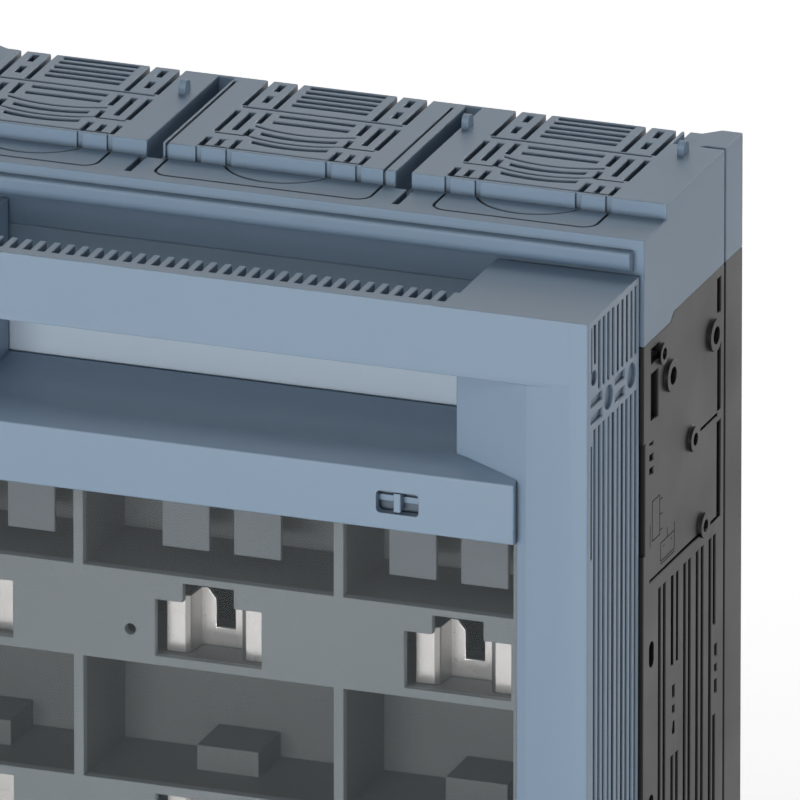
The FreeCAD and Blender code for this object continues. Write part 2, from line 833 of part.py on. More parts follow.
def base_housing():
    """The black base: floor, side walls and the partitions between the poles."""
    low = flip(below(S.sideDropRear))
    body = new_body("base")
    upper = [(frontPlane, below(S.sideDropFront)), (S.sideStepFront, below(S.sideDropFront)),
             (S.sideStepRear, below(S.sideDropRear)), (seamFront, below(S.sideDropRear))]
    lower = [(depth, flip(height)) for depth, height in reversed(upper)]
    pad(body, "YZ_Plane", [side(upper + lower)], -half, half)
    shelf = coverTop + S.shelfTopRise
    inside = half - S.shroudWall - S.latchClear
    bosses, bores = side_bosses()
    added = [body] + bosses
    added.append(block("tongue", (-half + S.seamCut, half - S.seamCut), (seamFront - beyond, seamBack),
                       (low + S.seamCut, below(S.sideDropRear) - S.seamCut)))
    added.append(block("shelf", (-inside, inside), (floorFront, seamFront), (flip(shelf), shelf)))
    for hand in (-1, 1):
        centre = hand * S.polePitch / 2
        added.append(block("barrier", (centre - S.partition / 2, centre + S.partition / 2),
                           (barrierFront, floorFront + beyond), (flip(shelf), shelf)))
    tools = []
    bay = S.polePitch / 2 - S.partition / 2
    for hand in poles.values():
        centre = S.polePitch * hand
        tools.append(block("bay", (centre - bay, centre + bay), (frontPlane - beyond, floorFront),
                           (flip(shelf) - beyond, shelf + beyond)))
        for end in (-1, 1):
            tools.append(rod("bar_screw_hole", S.screwRadius,
                             (centre, floorFront - beyond, middle + end * S.barScrewReach),
                             10.0 + beyond, "y"))
            tools.append(rod("bolt_room", S.terminalBolt + S.terminalClear,
                             (centre, floorFront - beyond, middle + end * S.terminalReach),
                             9.0 + beyond, "y"))
    recess = half - S.sideWall
    for end in (-1, 1):
        heights = sorted([middle + end * S.plateReach, middle + end * (coverTop - middle)],
                         key=lambda edge: edge.value)
        tools.append(block("plate_recess", (-recess, recess),
                           (frontPlane - beyond, frontPlane + S.coverPlate), heights))
    for hand in (-1, 1):
        for reach in (-1, 0, 1):
            tools.append(rod("rear_screw_hole", S.screwRadius,
                             (hand * S.polePitch / 2, seamBack - 12.0, middle + reach * S.rearScrewReach),
                             12.0 + beyond, "y"))
    right = fuse("reliefs_right", side_reliefs())
    tools += [right, mirrored("reliefs_left", right, across=True)] + bores
    keep("base_housing", cut("base_cut", fuse("base_joined", added), tools))


def contact_plates():
    """The light grey plates in front of the contacts, slotted for the blades of the fuses."""
    recess = half - S.sideWall - S.latchClear
    top = below(S.frontWallDrop)
    plate = block("plate", (-recess, recess), (frontPlane, frontPlane + S.coverPlate),
                  (middle + S.plateReach, top))
    slots = []
    for hand in poles.values():
        centre = S.polePitch * hand
        slots.append(block("blade_slot", (centre - S.bladeSlotHalf, centre + S.bladeSlotHalf),
                           (frontPlane - beyond, frontPlane + S.coverPlate + beyond),
                           (middle + S.plateReach - beyond, middle + S.bladeSlotReach)))
    upper = cut("plate_cut", plate, slots)
    keep("upper_contact_plate", upper)
    keep("lower_contact_plate", mirrored("lower_plate", upper))


def rear_frame():
    """The black rear frame with stiffening ribs and the bosses of the fixing inserts."""
    low = flip(below(S.sideDropRear))
    high = below(S.sideDropRear)
    body = block("rear_block", (-half, half), (seamBack, S.totalDepth), (low, high))
    tools = []
    columns = [-half + S.rearRim, -S.polePitch / 2 - S.rearRib / 2, -S.polePitch / 2 + S.rearRib / 2,
               S.polePitch / 2 - S.rearRib / 2, S.polePitch / 2 + S.rearRib / 2, half - S.rearRim]
    rows = [low + S.rearRim, middle - S.polePitch / 2 - S.rearRib / 2,
            middle - S.polePitch / 2 + S.rearRib / 2, middle + S.polePitch / 2 - S.rearRib / 2,
            middle + S.polePitch / 2 + S.rearRib / 2, high - S.rearRim]
    for i in range(0, len(columns), 2):
        for j in range(0, len(rows), 2):
            tools.append(block("rear_cell", (columns[i], columns[i + 1]),
                               (S.totalDepth - S.rearRecess, S.totalDepth + beyond),
                               (rows[j], rows[j + 1])))
    shell = cut("rear_shell", body, tools)
    bosses = []
    holes = []
    for across in (-1, 1):
        for reach in (-1, 1):
            at = (across * S.insertAcross, seamBack, middle + reach * S.insertReach)
            bosses.append(rod("insert_boss", S.insertRadius + S.rearRib, at,
                              S.totalDepth - seamBack, "y"))
            start = (at[0], S.totalDepth - S.insertLength, at[2])
            holes.append(rod("insert_seat", S.insertRadius, start, S.insertLength + beyond, "y"))
        for reach in (-1, 0, 1):
            at = (across * S.polePitch / 2, middle + reach * S.rearScrewReach)
            start = (at[0], seamBack - beyond, at[1])
            holes.append(rod("screw_way", S.screwRadius, start, S.totalDepth, "y"))
            start = (at[0], seamBack + S.rearPlate, at[1])
            holes.append(rod("screw_head_way", S.screwRadius * 2, start, S.totalDepth, "y"))
    keep("rear_frame", cut("rear_cut", fuse("rear_joined", [shell] + bosses), holes))


# Fasteners

def screw(name, start, length, hand):
    """A cheese head screw from its bearing face; hand is +1 where it drives backward."""
    head_length = S.screwRadius * 1.2
    if hand > 0:
        shank = rod(name, S.screwRadius, start, length, "y")
        head_at = (start[0], start[1] - head_length, start[2])
        slot_at = start[1] - head_length
    else:
        shank = rod(name, S.screwRadius, (start[0], start[1] - length, start[2]), length, "y")
        head_at = start
        slot_at = start[1] + head_length - S.screwRadius / 3
    head = rod(name + "_head", S.screwRadius * 1.9, head_at, head_length, "y")
    slot = block(name + "_slot", (start[0] - S.screwRadius * 2, start[0] + S.screwRadius * 2),
                 (slot_at, slot_at + S.screwRadius / 3),
                 (start[2] - S.screwRadius / 5, start[2] + S.screwRadius / 5))
    return cut(name + "_screw", fuse(name + "_blank", [shank, head]), [slot])


def housing_screws():
    """Screws of the contact bars and of the rear frame."""
    bars = []
    for hand in poles.values():
        for end in (-1, 1):
            start = (S.polePitch * hand, barFront, middle + end * S.barScrewReach)
            bars.append(screw("bar", start, S.barThick + 10.0, 1))
    keep("contact_bar_screws", group("bar_screws", bars))
    rears = []
    for across in (-1, 1):
        for reach in (-1, 0, 1):
            start = (across * S.polePitch / 2, seamBack + S.rearPlate, middle + reach * S.rearScrewReach)
            rears.append(screw("rear", start, S.rearPlate + 12.0, -1))
    keep("rear_frame_screws", group("rear_screws", rears))


def fixing_inserts():
    """Brass inserts in the back, which take the screws of the mounting plate."""
    inserts = []
    for across in (-1, 1):
        for reach in (-1, 1):
            at = (across * S.insertAcross, S.totalDepth - S.insertLength, middle + reach * S.insertReach)
            sleeve = rod("insert", S.insertRadius, at, S.insertLength, "y")
            bore = rod("insert_bore", S.insertBore, (at[0], at[1] - beyond, at[2]),
                       S.insertLength + beyond * 2, "y")
            inserts.append(cut("insert_sleeve", sleeve, [bore]))
    keep("fixing_inserts", group("inserts", inserts))


def terminal_bolts():
    """Hexagon bolts and washers of the cable terminals, with square nuts behind the bars."""
    bolts = []
    washers = []
    washer = 2.5
    head = 7.5
    for hand in poles.values():
        for end in (-1, 1):
            centre = (S.polePitch * hand, middle + end * S.terminalReach)
            body = new_body("bolt")
            flats = S.terminalBolt * 1.5
            reach = flats / math.cos(math.radians(30))
            corners = []
            for i in range(6):
                turn = math.radians(60 * i + 30)
                corners.append((centre[0] + reach * math.cos(turn), centre[1] + reach * math.sin(turn)))
            face = barFront - washer
            pad(body, "XZ_Plane", [corners], frame_depth(face - head), frame_depth(face))
            pad(body, "XZ_Plane", [], frame_depth(face - 0.5), frame_depth(floorFront + 8.0),
                circles=[(centre[0], centre[1], S.terminalBolt)])
            bolts.append(body)
            disc = rod("washer", S.terminalBolt * 2, (centre[0], face, centre[1]), washer, "y")
            hole = rod("washer_hole", S.terminalBolt + S.hingeClear,
                       (centre[0], face - beyond, centre[1]), beyond * 2 + washer, "y")
            washers.append(cut("washer_ring", disc, [hole]))
    keep("terminal_bolts", group("bolts", bolts))
    keep("terminal_washers", group("washers", washers))


# Contacts of one pole end, drawn for the upper end

def terminal_bar(centre):
    """The silvered bar from the jaw to the cable terminal."""
    body = new_body("bar")
    low = middle + S.jawReach - 2.0
    high = middle + S.barReach
    pad(body, "XZ_Plane", [[(centre - S.barHalf, low), (centre + S.barHalf, low),
                            (centre + S.barHalf, high), (centre - S.barHalf, high)]],
        frame_depth(barFront), frame_depth(floorFront))
    pad(body, "XZ_Plane", [], frame_depth(barFront - beyond), frame_depth(floorFront + beyond),
        "Pocket", [(centre, middle + S.terminalReach, S.terminalBolt + S.hingeClear),
                   (centre, middle + S.barScrewReach, S.screwRadius)])
    return body


def contact_jaw(centre):
    """The jaw that grips a fuse blade, bent from one sheet, with its tips flared open."""
    body = new_body("jaw")
    sheet_in = S.jawGapHalf
    sheet_out = S.jawGapHalf + S.jawSheet
    foot = barFront - S.jawSheet
    right = [(S.jawFootHalf, barFront), (S.jawFootHalf, foot), (sheet_out + 0.4, foot),
             (sheet_out, jawPinch), (sheet_out + S.jawSheet, jawTip + beyond),
             (sheet_out, jawTip), (sheet_in, jawPinch), (sheet_in + 0.4, foot)]
    points = [(centre + x, depth) for x, depth in right]
    points += [(centre - x, depth) for x, depth in reversed(right)]
    low = middle + S.jawReach
    high = low + S.jawLength
    pad(body, "XY_Plane", [plan(points)], low, high)
    gap = 1.2
    third = S.jawLength / 3
    outer = centre + S.jawFootHalf + beyond
    step = pad(body, "YZ_Plane", [side([(jawTip - beyond, low + third - gap / 2),
                                        (foot - S.jawSheet * 2, low + third - gap / 2),
                                        (foot - S.jawSheet * 2, low + third + gap / 2),
                                        (jawTip - beyond, low + third + gap / 2)])],
               outer - S.jawFootHalf * 2 - beyond * 2, outer, "Pocket")
    repeat(body, step, "Z_Axis", third, 2)
    return body


def jaw_springs(centre):
    """The pair of steel leaf springs that press on the outside of a jaw."""
    foot = barFront - S.jawSheet
    out = S.jawGapHalf + S.jawSheet
    sheet_wide = S.springSheet
    leaves = []
    for hand in (-1, 1):
        body = new_body("leaf")
        shape = [(S.jawFootHalf, foot), (S.jawFootHalf, foot - sheet_wide),
                 (out + 2.4, foot - sheet_wide), (out + sheet_wide, jawPinch + 1.5),
                 (out + 2.0, jawPinch - 1.0), (out + 1.2, jawPinch - 1.6),
                 (out + 0.06, jawPinch + 1.2), (out + 1.2, foot)]
        low = middle + S.jawReach + S.jawLength / 3 + 2.0
        pad(body, "XY_Plane", [plan([(centre + hand * x, depth) for x, depth in shape])],
            low, low + S.jawLength / 3 - 4.0)
        leaves.append(body)
    return group("springs", leaves)


def arc_chute(centre):
    """A stack of slotted quenching plates between two cheeks and an end wall."""
    low = middle + S.jawReach - 2.0
    high = middle + S.bladeSlotReach + 2.0
    wide = S.chuteHalf
    inner = S.chuteHalf - S.chuteWall
    body = new_body("chute")
    pad(body, "XZ_Plane", [[(centre - wide, low), (centre - inner, low), (centre - inner, high),
                            (centre + inner, high), (centre + inner, low), (centre + wide, low),
                            (centre + wide, high + S.chuteWall), (centre - wide, high + S.chuteWall)]],
        frame_depth(contactFront), frame_depth(chuteBack))
    slot = S.bladeSlotHalf
    throat = high - 12.0
    start = contactFront + chutePitch / 2
    step = pad(body, "XZ_Plane", [[(centre - inner, low + 1.0), (centre - slot * 1.6, low + 1.0),
                                   (centre - slot, low + 8.0), (centre - slot, throat),
                                   (centre + slot, throat), (centre + slot, low + 8.0),
                                   (centre + slot * 1.6, low + 1.0), (centre + inner, low + 1.0),
                                   (centre + inner, high), (centre - inner, high)]],
               frame_depth(start), frame_depth(start + S.chutePlate))
    repeat(body, step, "Y_Axis", chutePitch * (chutePlates - 1), chutePlates)
    return body


def contact_sets():
    """Jaw, springs, bar and arc chute for each pole, above and below."""
    builders = {"contact_jaw": contact_jaw, "jaw_springs": jaw_springs,
                "terminal_bar": terminal_bar, "arc_chute": arc_chute}
    for kind, build in builders.items():
        for pole, hand in poles.items():
            upper = build(S.polePitch * hand)
            keep(f"upper_{kind}_{pole}", upper)
            keep(f"lower_{kind}_{pole}", mirrored("lower_" + kind, upper))


# Fuse cover

def grip_bar():
    """The grip: a rounded front plate with a comb of slots behind its top edge."""
    body = new_body("grip")
    pad(body, "YZ_Plane", [side([(0, below(S.gripDrop)), (S.gripBack, below(S.gripDrop)),
                                 (S.gripBack, coverTop), (0, coverTop)])],
        -S.cheekInner - beyond, S.cheekInner + beyond)
    front = frame_depth(0).value
    bottom = below(S.gripDrop).value
    back = frame_depth(S.gripBack).value
    rounded(body, S.gripRound, lambda edge, at: near(at.z, bottom) and near(at.x, 0)
            and (near(at.y, front) or near(at.y, back)))
    first = -(combSlots - 1) * S.combPitch / 2
    step = pad(body, "XY_Plane", [plan([(first - S.combSlot / 2, S.gripPlate),
                                        (first + S.combSlot / 2, S.gripPlate),
                                        (first + S.combSlot / 2, S.gripBack + beyond),
                                        (first - S.combSlot / 2, S.gripBack + beyond)])],
               below(S.combSlotDrop), coverTop + beyond, "Pocket")
    repeat(body, step, "X_Axis", S.combPitch * (combSlots - 1), combSlots)
    plate = new_body("grip_plate")
    pad(plate, "YZ_Plane", [side([(0, below(S.gripDrop)), (S.gripPlate, below(S.gripDrop)),
                                  (S.gripPlate, coverTop), (0, coverTop)])],
        -S.cheekFaceEdge, S.cheekFaceEdge)
    rounded(plate, S.gripRound, lambda edge, at: near(at.z, bottom) and near(at.x, 0)
            and near(at.y, front))
    pieces = [body, plate]
    for hand in (-1, 1):
        edges = sorted([hand * S.cheekInner, hand * S.cheekFaceEdge], key=lambda edge: edge.value)
        pieces.append(block("grip_end", edges, (S.gripPlate - beyond, S.cheekSlantDepth),
                            (below(S.gripDrop), coverTop)))
    return pieces


def cheek(hand):
    """One side of the cover: the slanted inner face, the crease and the rounded corner."""
    body = new_body("cheek")
    points = [(S.cheekInner, S.coverDepth), (S.cheekInner, S.cheekSlantDepth),
              (S.cheekCrease, S.cheekCreaseDepth), (S.cheekFaceEdge, size(0.02)),
              (coverHalf, size(0.02)), (coverHalf, S.coverDepth)]
    pad(body, "XY_Plane", [plan([(hand * x, depth) for x, depth in points])],
        S.plateauRise, coverTop)
    outer = (hand * coverHalf).value
    front = frame_depth(0.02).value
    rounded(body, S.cheekCornerRadius, lambda edge, at: near(at.x, outer) and near(at.y, front))
    return body


def cheek_marks():
    """Grooves and grip marks in the right side of the cover."""
    face = (coverHalf - S.grooveCut, coverHalf + beyond)
    tools = []
    low_end = S.plateauRise + S.grooveTopDrop + S.hingeInset
    for i in range(sideGrooves):
        depth = S.grooveFirst + S.groovePitch * i
        ends = (depth - S.grooveSlot / 2, depth + S.grooveSlot / 2)
        top_end = S.grooveBandTop if i else S.grooveBandTop - 9.0
        tools.append(block("groove", face, ends, (below(top_end), below(S.grooveTopDrop))))
        tools.append(block("groove", face, ends, (low_end, below(S.grooveBandEnd))))
    ends = (S.lineDepth - S.lineSlot / 2, S.lineDepth + S.lineSlot / 2)
    for high, low in ((S.grooveTopDrop, S.lineTopEnd), (S.lineLowStart, S.lineLowEnd)):
        tools.append(block("cheek_line", face, ends, (below(low), below(high))))
    face_at = coverHalf - S.grooveCut
    for depth, drop, radius in ((38.5, S.markDrop, S.markRadius), (18.3, S.markDrop, S.markRadius),
                                (5.3, S.markDrop - 10.5, S.markRadius * 0.62)):
        tools.append(rod("mark", radius, (face_at, depth, below(drop)), S.grooveCut + beyond, "x"))
    for start, end in ((24.3, 32.6), (2.9, 12.9)):
        for step in (-1, 1):
            centre = below(S.markDrop) + step * S.markBarOffset
            tools.append(block("mark_bar", face, (start, end),
                               (centre - S.markBarHeight / 2, centre + S.markBarHeight / 2)))
    return tools


def front_frame():
    """The bars above and below the window, the finger recess and the closed bottom."""
    reach = S.frameHalf
    bar_low = below(S.barDrop)
    pieces = []
    scoop = new_body("scoop")
    pad(scoop, "YZ_Plane", [side([(0, below(S.scoopFrontDrop)), (S.scoopMidDepth, below(S.scoopMidDrop)),
                                  (S.coverDepth, below(S.scoopBackDrop)),
                                  (S.coverDepth, below(S.scoopBackDrop + S.scoopWall)),
                                  (S.scoopMidDepth, below(S.scoopMidDrop + S.scoopWall)),
                                  (S.coverWall, below(S.scoopFrontDrop + S.scoopWall)),
                                  (S.coverWall, bar_low), (0, bar_low)])], -reach, reach)
    pieces.append(scoop)
    low_edge = flip(bar_low)
    pieces.append(block("apron", (-reach - beyond, reach + beyond), (0, S.coverWall),
                        (S.plateauRise, low_edge)))
    pieces.append(block("apron_floor", (-reach - beyond, reach + beyond), (0, S.coverDepth),
                        (S.plateauRise, S.plateauRise + S.coverWall)))
    return pieces


def cheek_hollows():
    """The room inside the cheeks, open to the back and stiffened by shelves."""
    wall = S.coverWall
    tools = []
    shelves = (S.plateauRise + wall, S.plateauRise + 70.0, middle - S.insertReach / 2,
               middle + S.insertReach / 2, below(S.scoopFrontDrop + S.scoopWall))
    for hand in (-1, 1):
        for low, high in zip(shelves, shelves[1:]):
            edges = sorted([hand * (S.frameHalf + wall), hand * (coverHalf - wall)],
                           key=lambda edge: edge.value)
            tools.append(block("cheek_room", edges, (S.cheekCreaseDepth + wall * 2, S.coverDepth + beyond),
                               (low + wall / 2, high - wall / 2)))
        edges = sorted([hand * (S.cheekInner + wall), hand * (coverHalf - wall)],
                       key=lambda edge: edge.value)
        tools.append(block("cheek_room", edges, (S.cheekSlantDepth + wall, S.coverDepth + beyond),
                           (below(S.scoopMidDrop), below(wall))))
    return tools


def latch_guide():
    """Two rails behind the lower bar that hold the latch slider."""
    centre = S.latchAcross
    wall = S.latchGuideWall
    rails = []
    reach = S.latchSlotLength / 2 + S.latchTravel
    plate_half = S.latchSlotHeight / 2 + 1.5
    back = S.coverWall + S.latchRailRise + S.latchPlate + S.latchClear * 2
    for hand in (-1, 1):
        inner = below(S.latchDrop) + hand * (plate_half + S.latchClear)
        web = sorted([inner, inner + hand * wall], key=lambda edge: edge.value)
        hook = sorted([inner - hand * wall, inner + hand * wall], key=lambda edge: edge.value)
        rails.append(block("rail_web", (centre - reach, centre + reach),
                           (S.coverWall - S.latchClear, back + wall), web))
        rails.append(block("rail_hook", (centre - reach, centre + reach), (back, back + wall), hook))
    return rails


def hinge_lugs():
    """The lugs of the cover on both sides of each hinge ear."""
    axis_depth = S.coverDepth - S.hingeInset
    axis_height = S.plateauRise + S.hingeInset
    lugs = []
    for hand in (-1, 1):
        for side_of in (-1, 1):
            inner = S.hingeEarHalf + S.hingeSideClear
            edges = sorted([hand * S.hingeAcross + side_of * inner,
                            hand * S.hingeAcross + side_of * (inner + S.hingeLug)],
                           key=lambda edge: edge.value)
            lugs.append(rod("lug_eye", S.hingeInset, (edges[0], axis_depth, axis_height),
                            S.hingeLug, "x"))
            lugs.append(block("lug_web", edges, (axis_depth - S.hingeInset * 2, axis_depth),
                              (S.plateauRise + 0.5, axis_height + S.hingeInset)))
    return lugs


def hinge_ways():
    """Notches for the hinge ears, and the pin bores of the lugs."""
    axis_depth = S.coverDepth - S.hingeInset
    axis_height = S.plateauRise + S.hingeInset
    reach = S.hingeEarHalf + S.hingeSideClear
    tools = []
    for hand in (-1, 1):
        centre = hand * S.hingeAcross
        tools.append(block("ear_way", (centre - reach, centre + reach),
                           (axis_depth - S.hingeEarRadius - 1.2, S.coverDepth + beyond),
                           (S.plateauRise - beyond, S.plateauRise + S.coverWall + beyond)))
        tools.append(rod("pin_bore", S.hingePin,
                         (centre - reach - S.hingeLug - beyond, axis_depth, axis_height),
                         (reach + S.hingeLug + beyond) * 2, "x"))
    return tools


def handle_cover():
    """The cover moulding, with the grip, the cheeks, the window frame and the hinge lugs."""
    room_low = S.plateauRise + S.coverWall
    room_high = below(S.scoopFrontDrop + S.scoopWall)
    cheeks = fuse("cheeks", [cheek(-1), cheek(1)])
    cores = cheek_hollows()
    cores.append(block("front_room", (-S.frameHalf, S.frameHalf), (-beyond, S.coverDepth + beyond),
                       (room_low, room_high)))
    shell = cut("cheek_shell", cheeks, cores)
    joined = fuse("cover_joined", [shell] + grip_bar() + front_frame() + latch_guide()
                  + carrier_bosses() + hinge_lugs())
    right = fuse("marks_right", cheek_marks())
    tools = [right, mirrored("marks_left", right, across=True), latch_window(), bottom_round()]
    tools += hinge_ways() + carrier_screw_ways(S.carrierWall * 2)
    keep("handle_cover", cut("cover_cut", joined, tools))


def latch_window():
    """The rounded opening of the latch in the lower bar."""
    body = new_body("latch_opening")
    centre = (S.latchAcross, below(S.latchDrop))
    wide = S.latchSlotLength / 2
    tall = S.latchSlotHeight / 2
    pad(body, "XZ_Plane", [[(centre[0] - wide, centre[1] - tall), (centre[0] + wide, centre[1] - tall),
                            (centre[0] + wide, centre[1] + tall), (centre[0] - wide, centre[1] + tall)]],
        frame_depth(-beyond), frame_depth(S.coverWall + 0.01))
    rounded(body, S.latchSlotRadius, lambda edge, at: edge.Length < S.coverWall.value + beyond * 1.5)
    return body


def bottom_round():
    """What is cut off the lower back edge, so that it turns clear of the housing."""
    axis_depth = S.coverDepth - S.hingeInset
    axis_height = S.plateauRise + S.hingeInset
    wide = coverHalf + beyond
    corner = block("edge_corner", (-wide, wide), (axis_depth, S.coverDepth + beyond),
                   (S.plateauRise - beyond, axis_height))
    return cut("edge_round", corner, [rod("edge_core", S.hingeInset,
                                          (-wide - beyond, axis_depth, axis_height),
                                          wide * 2 + beyond * 2, "x")])


def inspection_window():
    """The clear pane, a flat plate behind the frame of the cover."""
    low = flip(below(S.barDrop))
    high = below(S.barDrop)
    reach = S.frameHalf - S.latchClear
    pane = block("pane", (-reach, reach), (S.coverWall, S.coverWall + S.windowPane),
                 (low - S.windowEdge, high + S.windowEdge))
    keep("inspection_window", pane)


# Fuse carrier

def carrier_ear_heights():
    """Heights of the ears that are screwed to the cheeks."""
    return (middle - S.insertReach / 2 - 12.0, middle + S.insertReach / 2 - 12.0)


def carrier_bosses():
    """Posts in the cheeks that take the carrier screws."""
    posts = []
    for hand in (-1, 1):
        for height in carrier_ear_heights():
            edges = sorted([hand * (S.frameHalf + 1.0), hand * (S.frameHalf + 13.0)],
                           key=lambda edge: edge.value)
            posts.append(block("carrier_post", edges, (S.coverWall, S.coverDepth - S.carrierWall * 2),
                               (height - 6.0, height + 6.0)))
    return posts


def carrier_screw_ways(ear):
    """Screw holes in the posts, and room for the ears in the cheek walls."""
    tools = []
    for hand in (-1, 1):
        for height in carrier_ear_heights():
            edges = sorted([hand * (S.frameHalf - beyond), hand * (S.frameHalf + S.coverWall + beyond)],
                           key=lambda edge: edge.value)
            tools.append(block("ear_notch", edges, (S.coverDepth - ear, S.coverDepth + beyond),
                               (height - 6.3, height + 6.3)))
            tools.append(rod("carrier_screw_hole", S.screwRadius,
                             (hand * (S.frameHalf + 7.5), S.coverDepth - ear - 12.0, height),
                             12.0 + beyond, "y"))
    return tools


def band_windows(centre):
    """The opening in the band in front of one fuse clip, a wide slot with a notch on top."""
    body = new_body("tee")
    points = [(centre - S.teeHalf, below(S.teeLowDrop)), (centre + S.teeHalf, below(S.teeLowDrop)),
              (centre + S.teeHalf, below(S.teeTopDrop)), (centre + S.notchHalf, below(S.teeTopDrop)),
              (centre + S.notchHalf, below(S.notchTopDrop)), (centre - S.notchHalf, below(S.notchTopDrop)),
              (centre - S.notchHalf, below(S.teeTopDrop)), (centre - S.teeHalf, below(S.teeTopDrop))]
    pad(body, "XZ_Plane", [points], frame_depth(S.carrierFront - beyond),
        frame_depth(S.carrierFront + S.carrierWall + beyond))
    return body


def fuse_carrier():
    """The grey moulding behind the window: ribs, hollow bands and the walls of the chambers."""
    wall = S.carrierWall
    front = S.carrierFront
    back = S.coverDepth
    outer = S.frameHalf - S.latchClear
    inner = outer - wall
    top = below(S.carrierTopDrop)
    band = (below(S.bandLowDrop), below(S.bandTopDrop))
    upper = []
    upper.append(block("carrier_roof", (-outer, outer), (front, back), (top - wall, top)))
    upper.append(block("band_front", (-outer, outer), (front, front + wall), band))
    upper.append(block("band_top", (-outer, outer), (front, back), (band[1] - wall, band[1])))
    upper.append(block("band_low", (-outer, outer), (front, back), (band[0], band[0] + wall)))
    upper.append(block("upper_back", (-outer, outer), (back - wall, back), (band[1] - wall, top)))
    shared = []
    shared.append(block("middle_back", (-outer, outer), (back - wall, back), (flip(band[0]), band[0])))
    for hand in (-1, 1):
        centre = hand * S.carrierRibAcross
        shared.append(block("carrier_rib", (centre - S.carrierRib / 2, centre + S.carrierRib / 2),
                            (front, back), (flip(top), top)))
        edges = sorted([hand * inner, hand * outer], key=lambda edge: edge.value)
        shared.append(block("carrier_side", edges, (front, back), (flip(top), top)))
        for height in carrier_ear_heights():
            ear = sorted([hand * inner, hand * (S.frameHalf + 12.5)], key=lambda edge: edge.value)
            shared.append(block("carrier_ear", ear, (back - wall * 2, back), (height - 6.0, height + 6.0)))
    for hand in poles.values():
        centre = S.polePitch * hand
        shared.append(block("chamber_block", (centre - S.chamberBlockHalf, centre + S.chamberBlockHalf),
                            (back - wall - S.chamberBlockDepth, back - wall),
                            (flip(band[0]) - beyond, flip(band[0]) + S.chamberBlockRise)))
    upper_half = fuse("carrier_upper", upper)
    joined = fuse("carrier_joined", [upper_half, mirrored("carrier_lower", upper_half)] + shared)
    openings = []
    for hand in poles.values():
        openings.append(band_windows(S.polePitch * hand))
    openings.append(rod("sight_hole", 1.8, (-25.0, front - beyond, below(118.6)), wall + beyond * 2, "y"))
    openings_upper = fuse("tee_upper", openings)
    tools = [openings_upper, mirrored("tee_lower", openings_upper)]
    for hand in (-1, 1):
        for height in carrier_ear_heights():
            at = hand * (S.frameHalf + 7.5)
            tools.append(rod("ear_hole", S.screwRadius, (at, back - wall * 2 - beyond, height),
                             wall * 2 + beyond * 2, "y"))
            tools.append(rod("ear_sink", S.screwRadius * 1.9 + 0.1,
                             (at, back - S.screwRadius * 1.2 - 0.1, height), 5.0, "y"))
    keep("fuse_carrier", cut("carrier_cut", joined, tools))


def carrier_screws():
    """The screws that hold the carrier in the cover."""
    screws = []
    head = S.screwRadius * 1.2 + 0.1
    for hand in (-1, 1):
        for height in carrier_ear_heights():
            start = (hand * (S.frameHalf + 7.5), S.coverDepth - head, height)
            screws.append(screw("carrier", start, S.carrierWall * 2 - head + 10.0, -1))
    keep("carrier_screws", group("carrier_screw_set", screws))


def fuse_clip(centre):
    """A hat-shaped clip of silvered sheet with a notched centre plate."""
    body = new_body("clip")
    metal = S.clipSheet
    flange = S.clipFlangeDepth
    deep = S.clipPlateDepth
    low = below(S.bandLowDrop) + S.carrierWall
    high = below(S.clipTopDrop)
    right = [(S.clipFlangeOuter, flange), (S.clipFlangeInner, flange), (S.clipFlangeInner - 1.6, flange + 1.0),
             (S.clipPlateHalf, flange + 3.2), (S.clipPlateHalf - 0.5, deep),
             ]
    outer = [(S.clipPlateHalf - 0.5 + metal, deep + metal), (S.clipPlateHalf + metal, flange + 3.8),
             (S.clipFlangeInner - 0.6, flange + 1.8), (S.clipFlangeInner + 0.4, flange + metal),
             (S.clipFlangeOuter, flange + metal)]
    points = [(centre + x, depth) for x, depth in right]
    points += [(centre - x, depth) for x, depth in reversed(right)]
    points += [(centre - x, depth) for x, depth in reversed(outer)]
    points += [(centre + x, depth) for x, depth in outer]
    pad(body, "XY_Plane", [plan(points)], low, high)
    notch = below(S.teeLowDrop) + S.clipNotchRise
    corner = S.clipCorner
    pad(body, "XZ_Plane", [[(centre - S.clipNotchHalf, notch), (centre + S.clipNotchHalf, notch),
                            (centre + S.clipNotchHalf, high - S.clipCornerDrop),
                            (centre + S.clipNotchHalf + corner, high),
                            (centre + S.clipNotchHalf + corner, high + beyond),
                            (centre - S.clipNotchHalf - corner, high + beyond),
                            (centre - S.clipNotchHalf - corner, high),
                            (centre - S.clipNotchHalf, high - S.clipCornerDrop)]],
        frame_depth(deep - 2.0), frame_depth(deep + metal + beyond), "Pocket")
    return body


def blade_shield(centre):
    """The slotted light plate that hangs in an outer chamber in front of the blades."""
    body = new_body("shield")
    top = below(S.carrierTopDrop) - S.carrierWall
    low = below(S.shieldLowDrop)
    yoke = top - S.shieldSheet
    points = [(centre - S.shieldOuter, low), (centre - S.shieldInner, low), (centre - S.shieldInner, yoke),
              (centre + S.shieldInner, yoke), (centre + S.shieldInner, low), (centre + S.shieldOuter, low),
              (centre + S.shieldOuter, top), (centre - S.shieldOuter, top)]
    pad(body, "XZ_Plane", [points], frame_depth(S.shieldDepth),
        frame_depth(S.shieldDepth + S.shieldSheet))
    return body


def carrier_fittings():
    """Clips and blade shields of each pole, above and below."""
    for pole, hand in poles.items():
        clip = fuse_clip(S.polePitch * hand)
        keep(f"upper_fuse_clip_{pole}", clip)
        keep(f"lower_fuse_clip_{pole}", mirrored("lower_clip", clip))
        shield = blade_shield(S.shieldShift * hand)
        keep(f"upper_blade_shield_{pole}", shield)
        keep(f"lower_blade_shield_{pole}", mirrored("lower_shield", shield))


# Hinge and latch

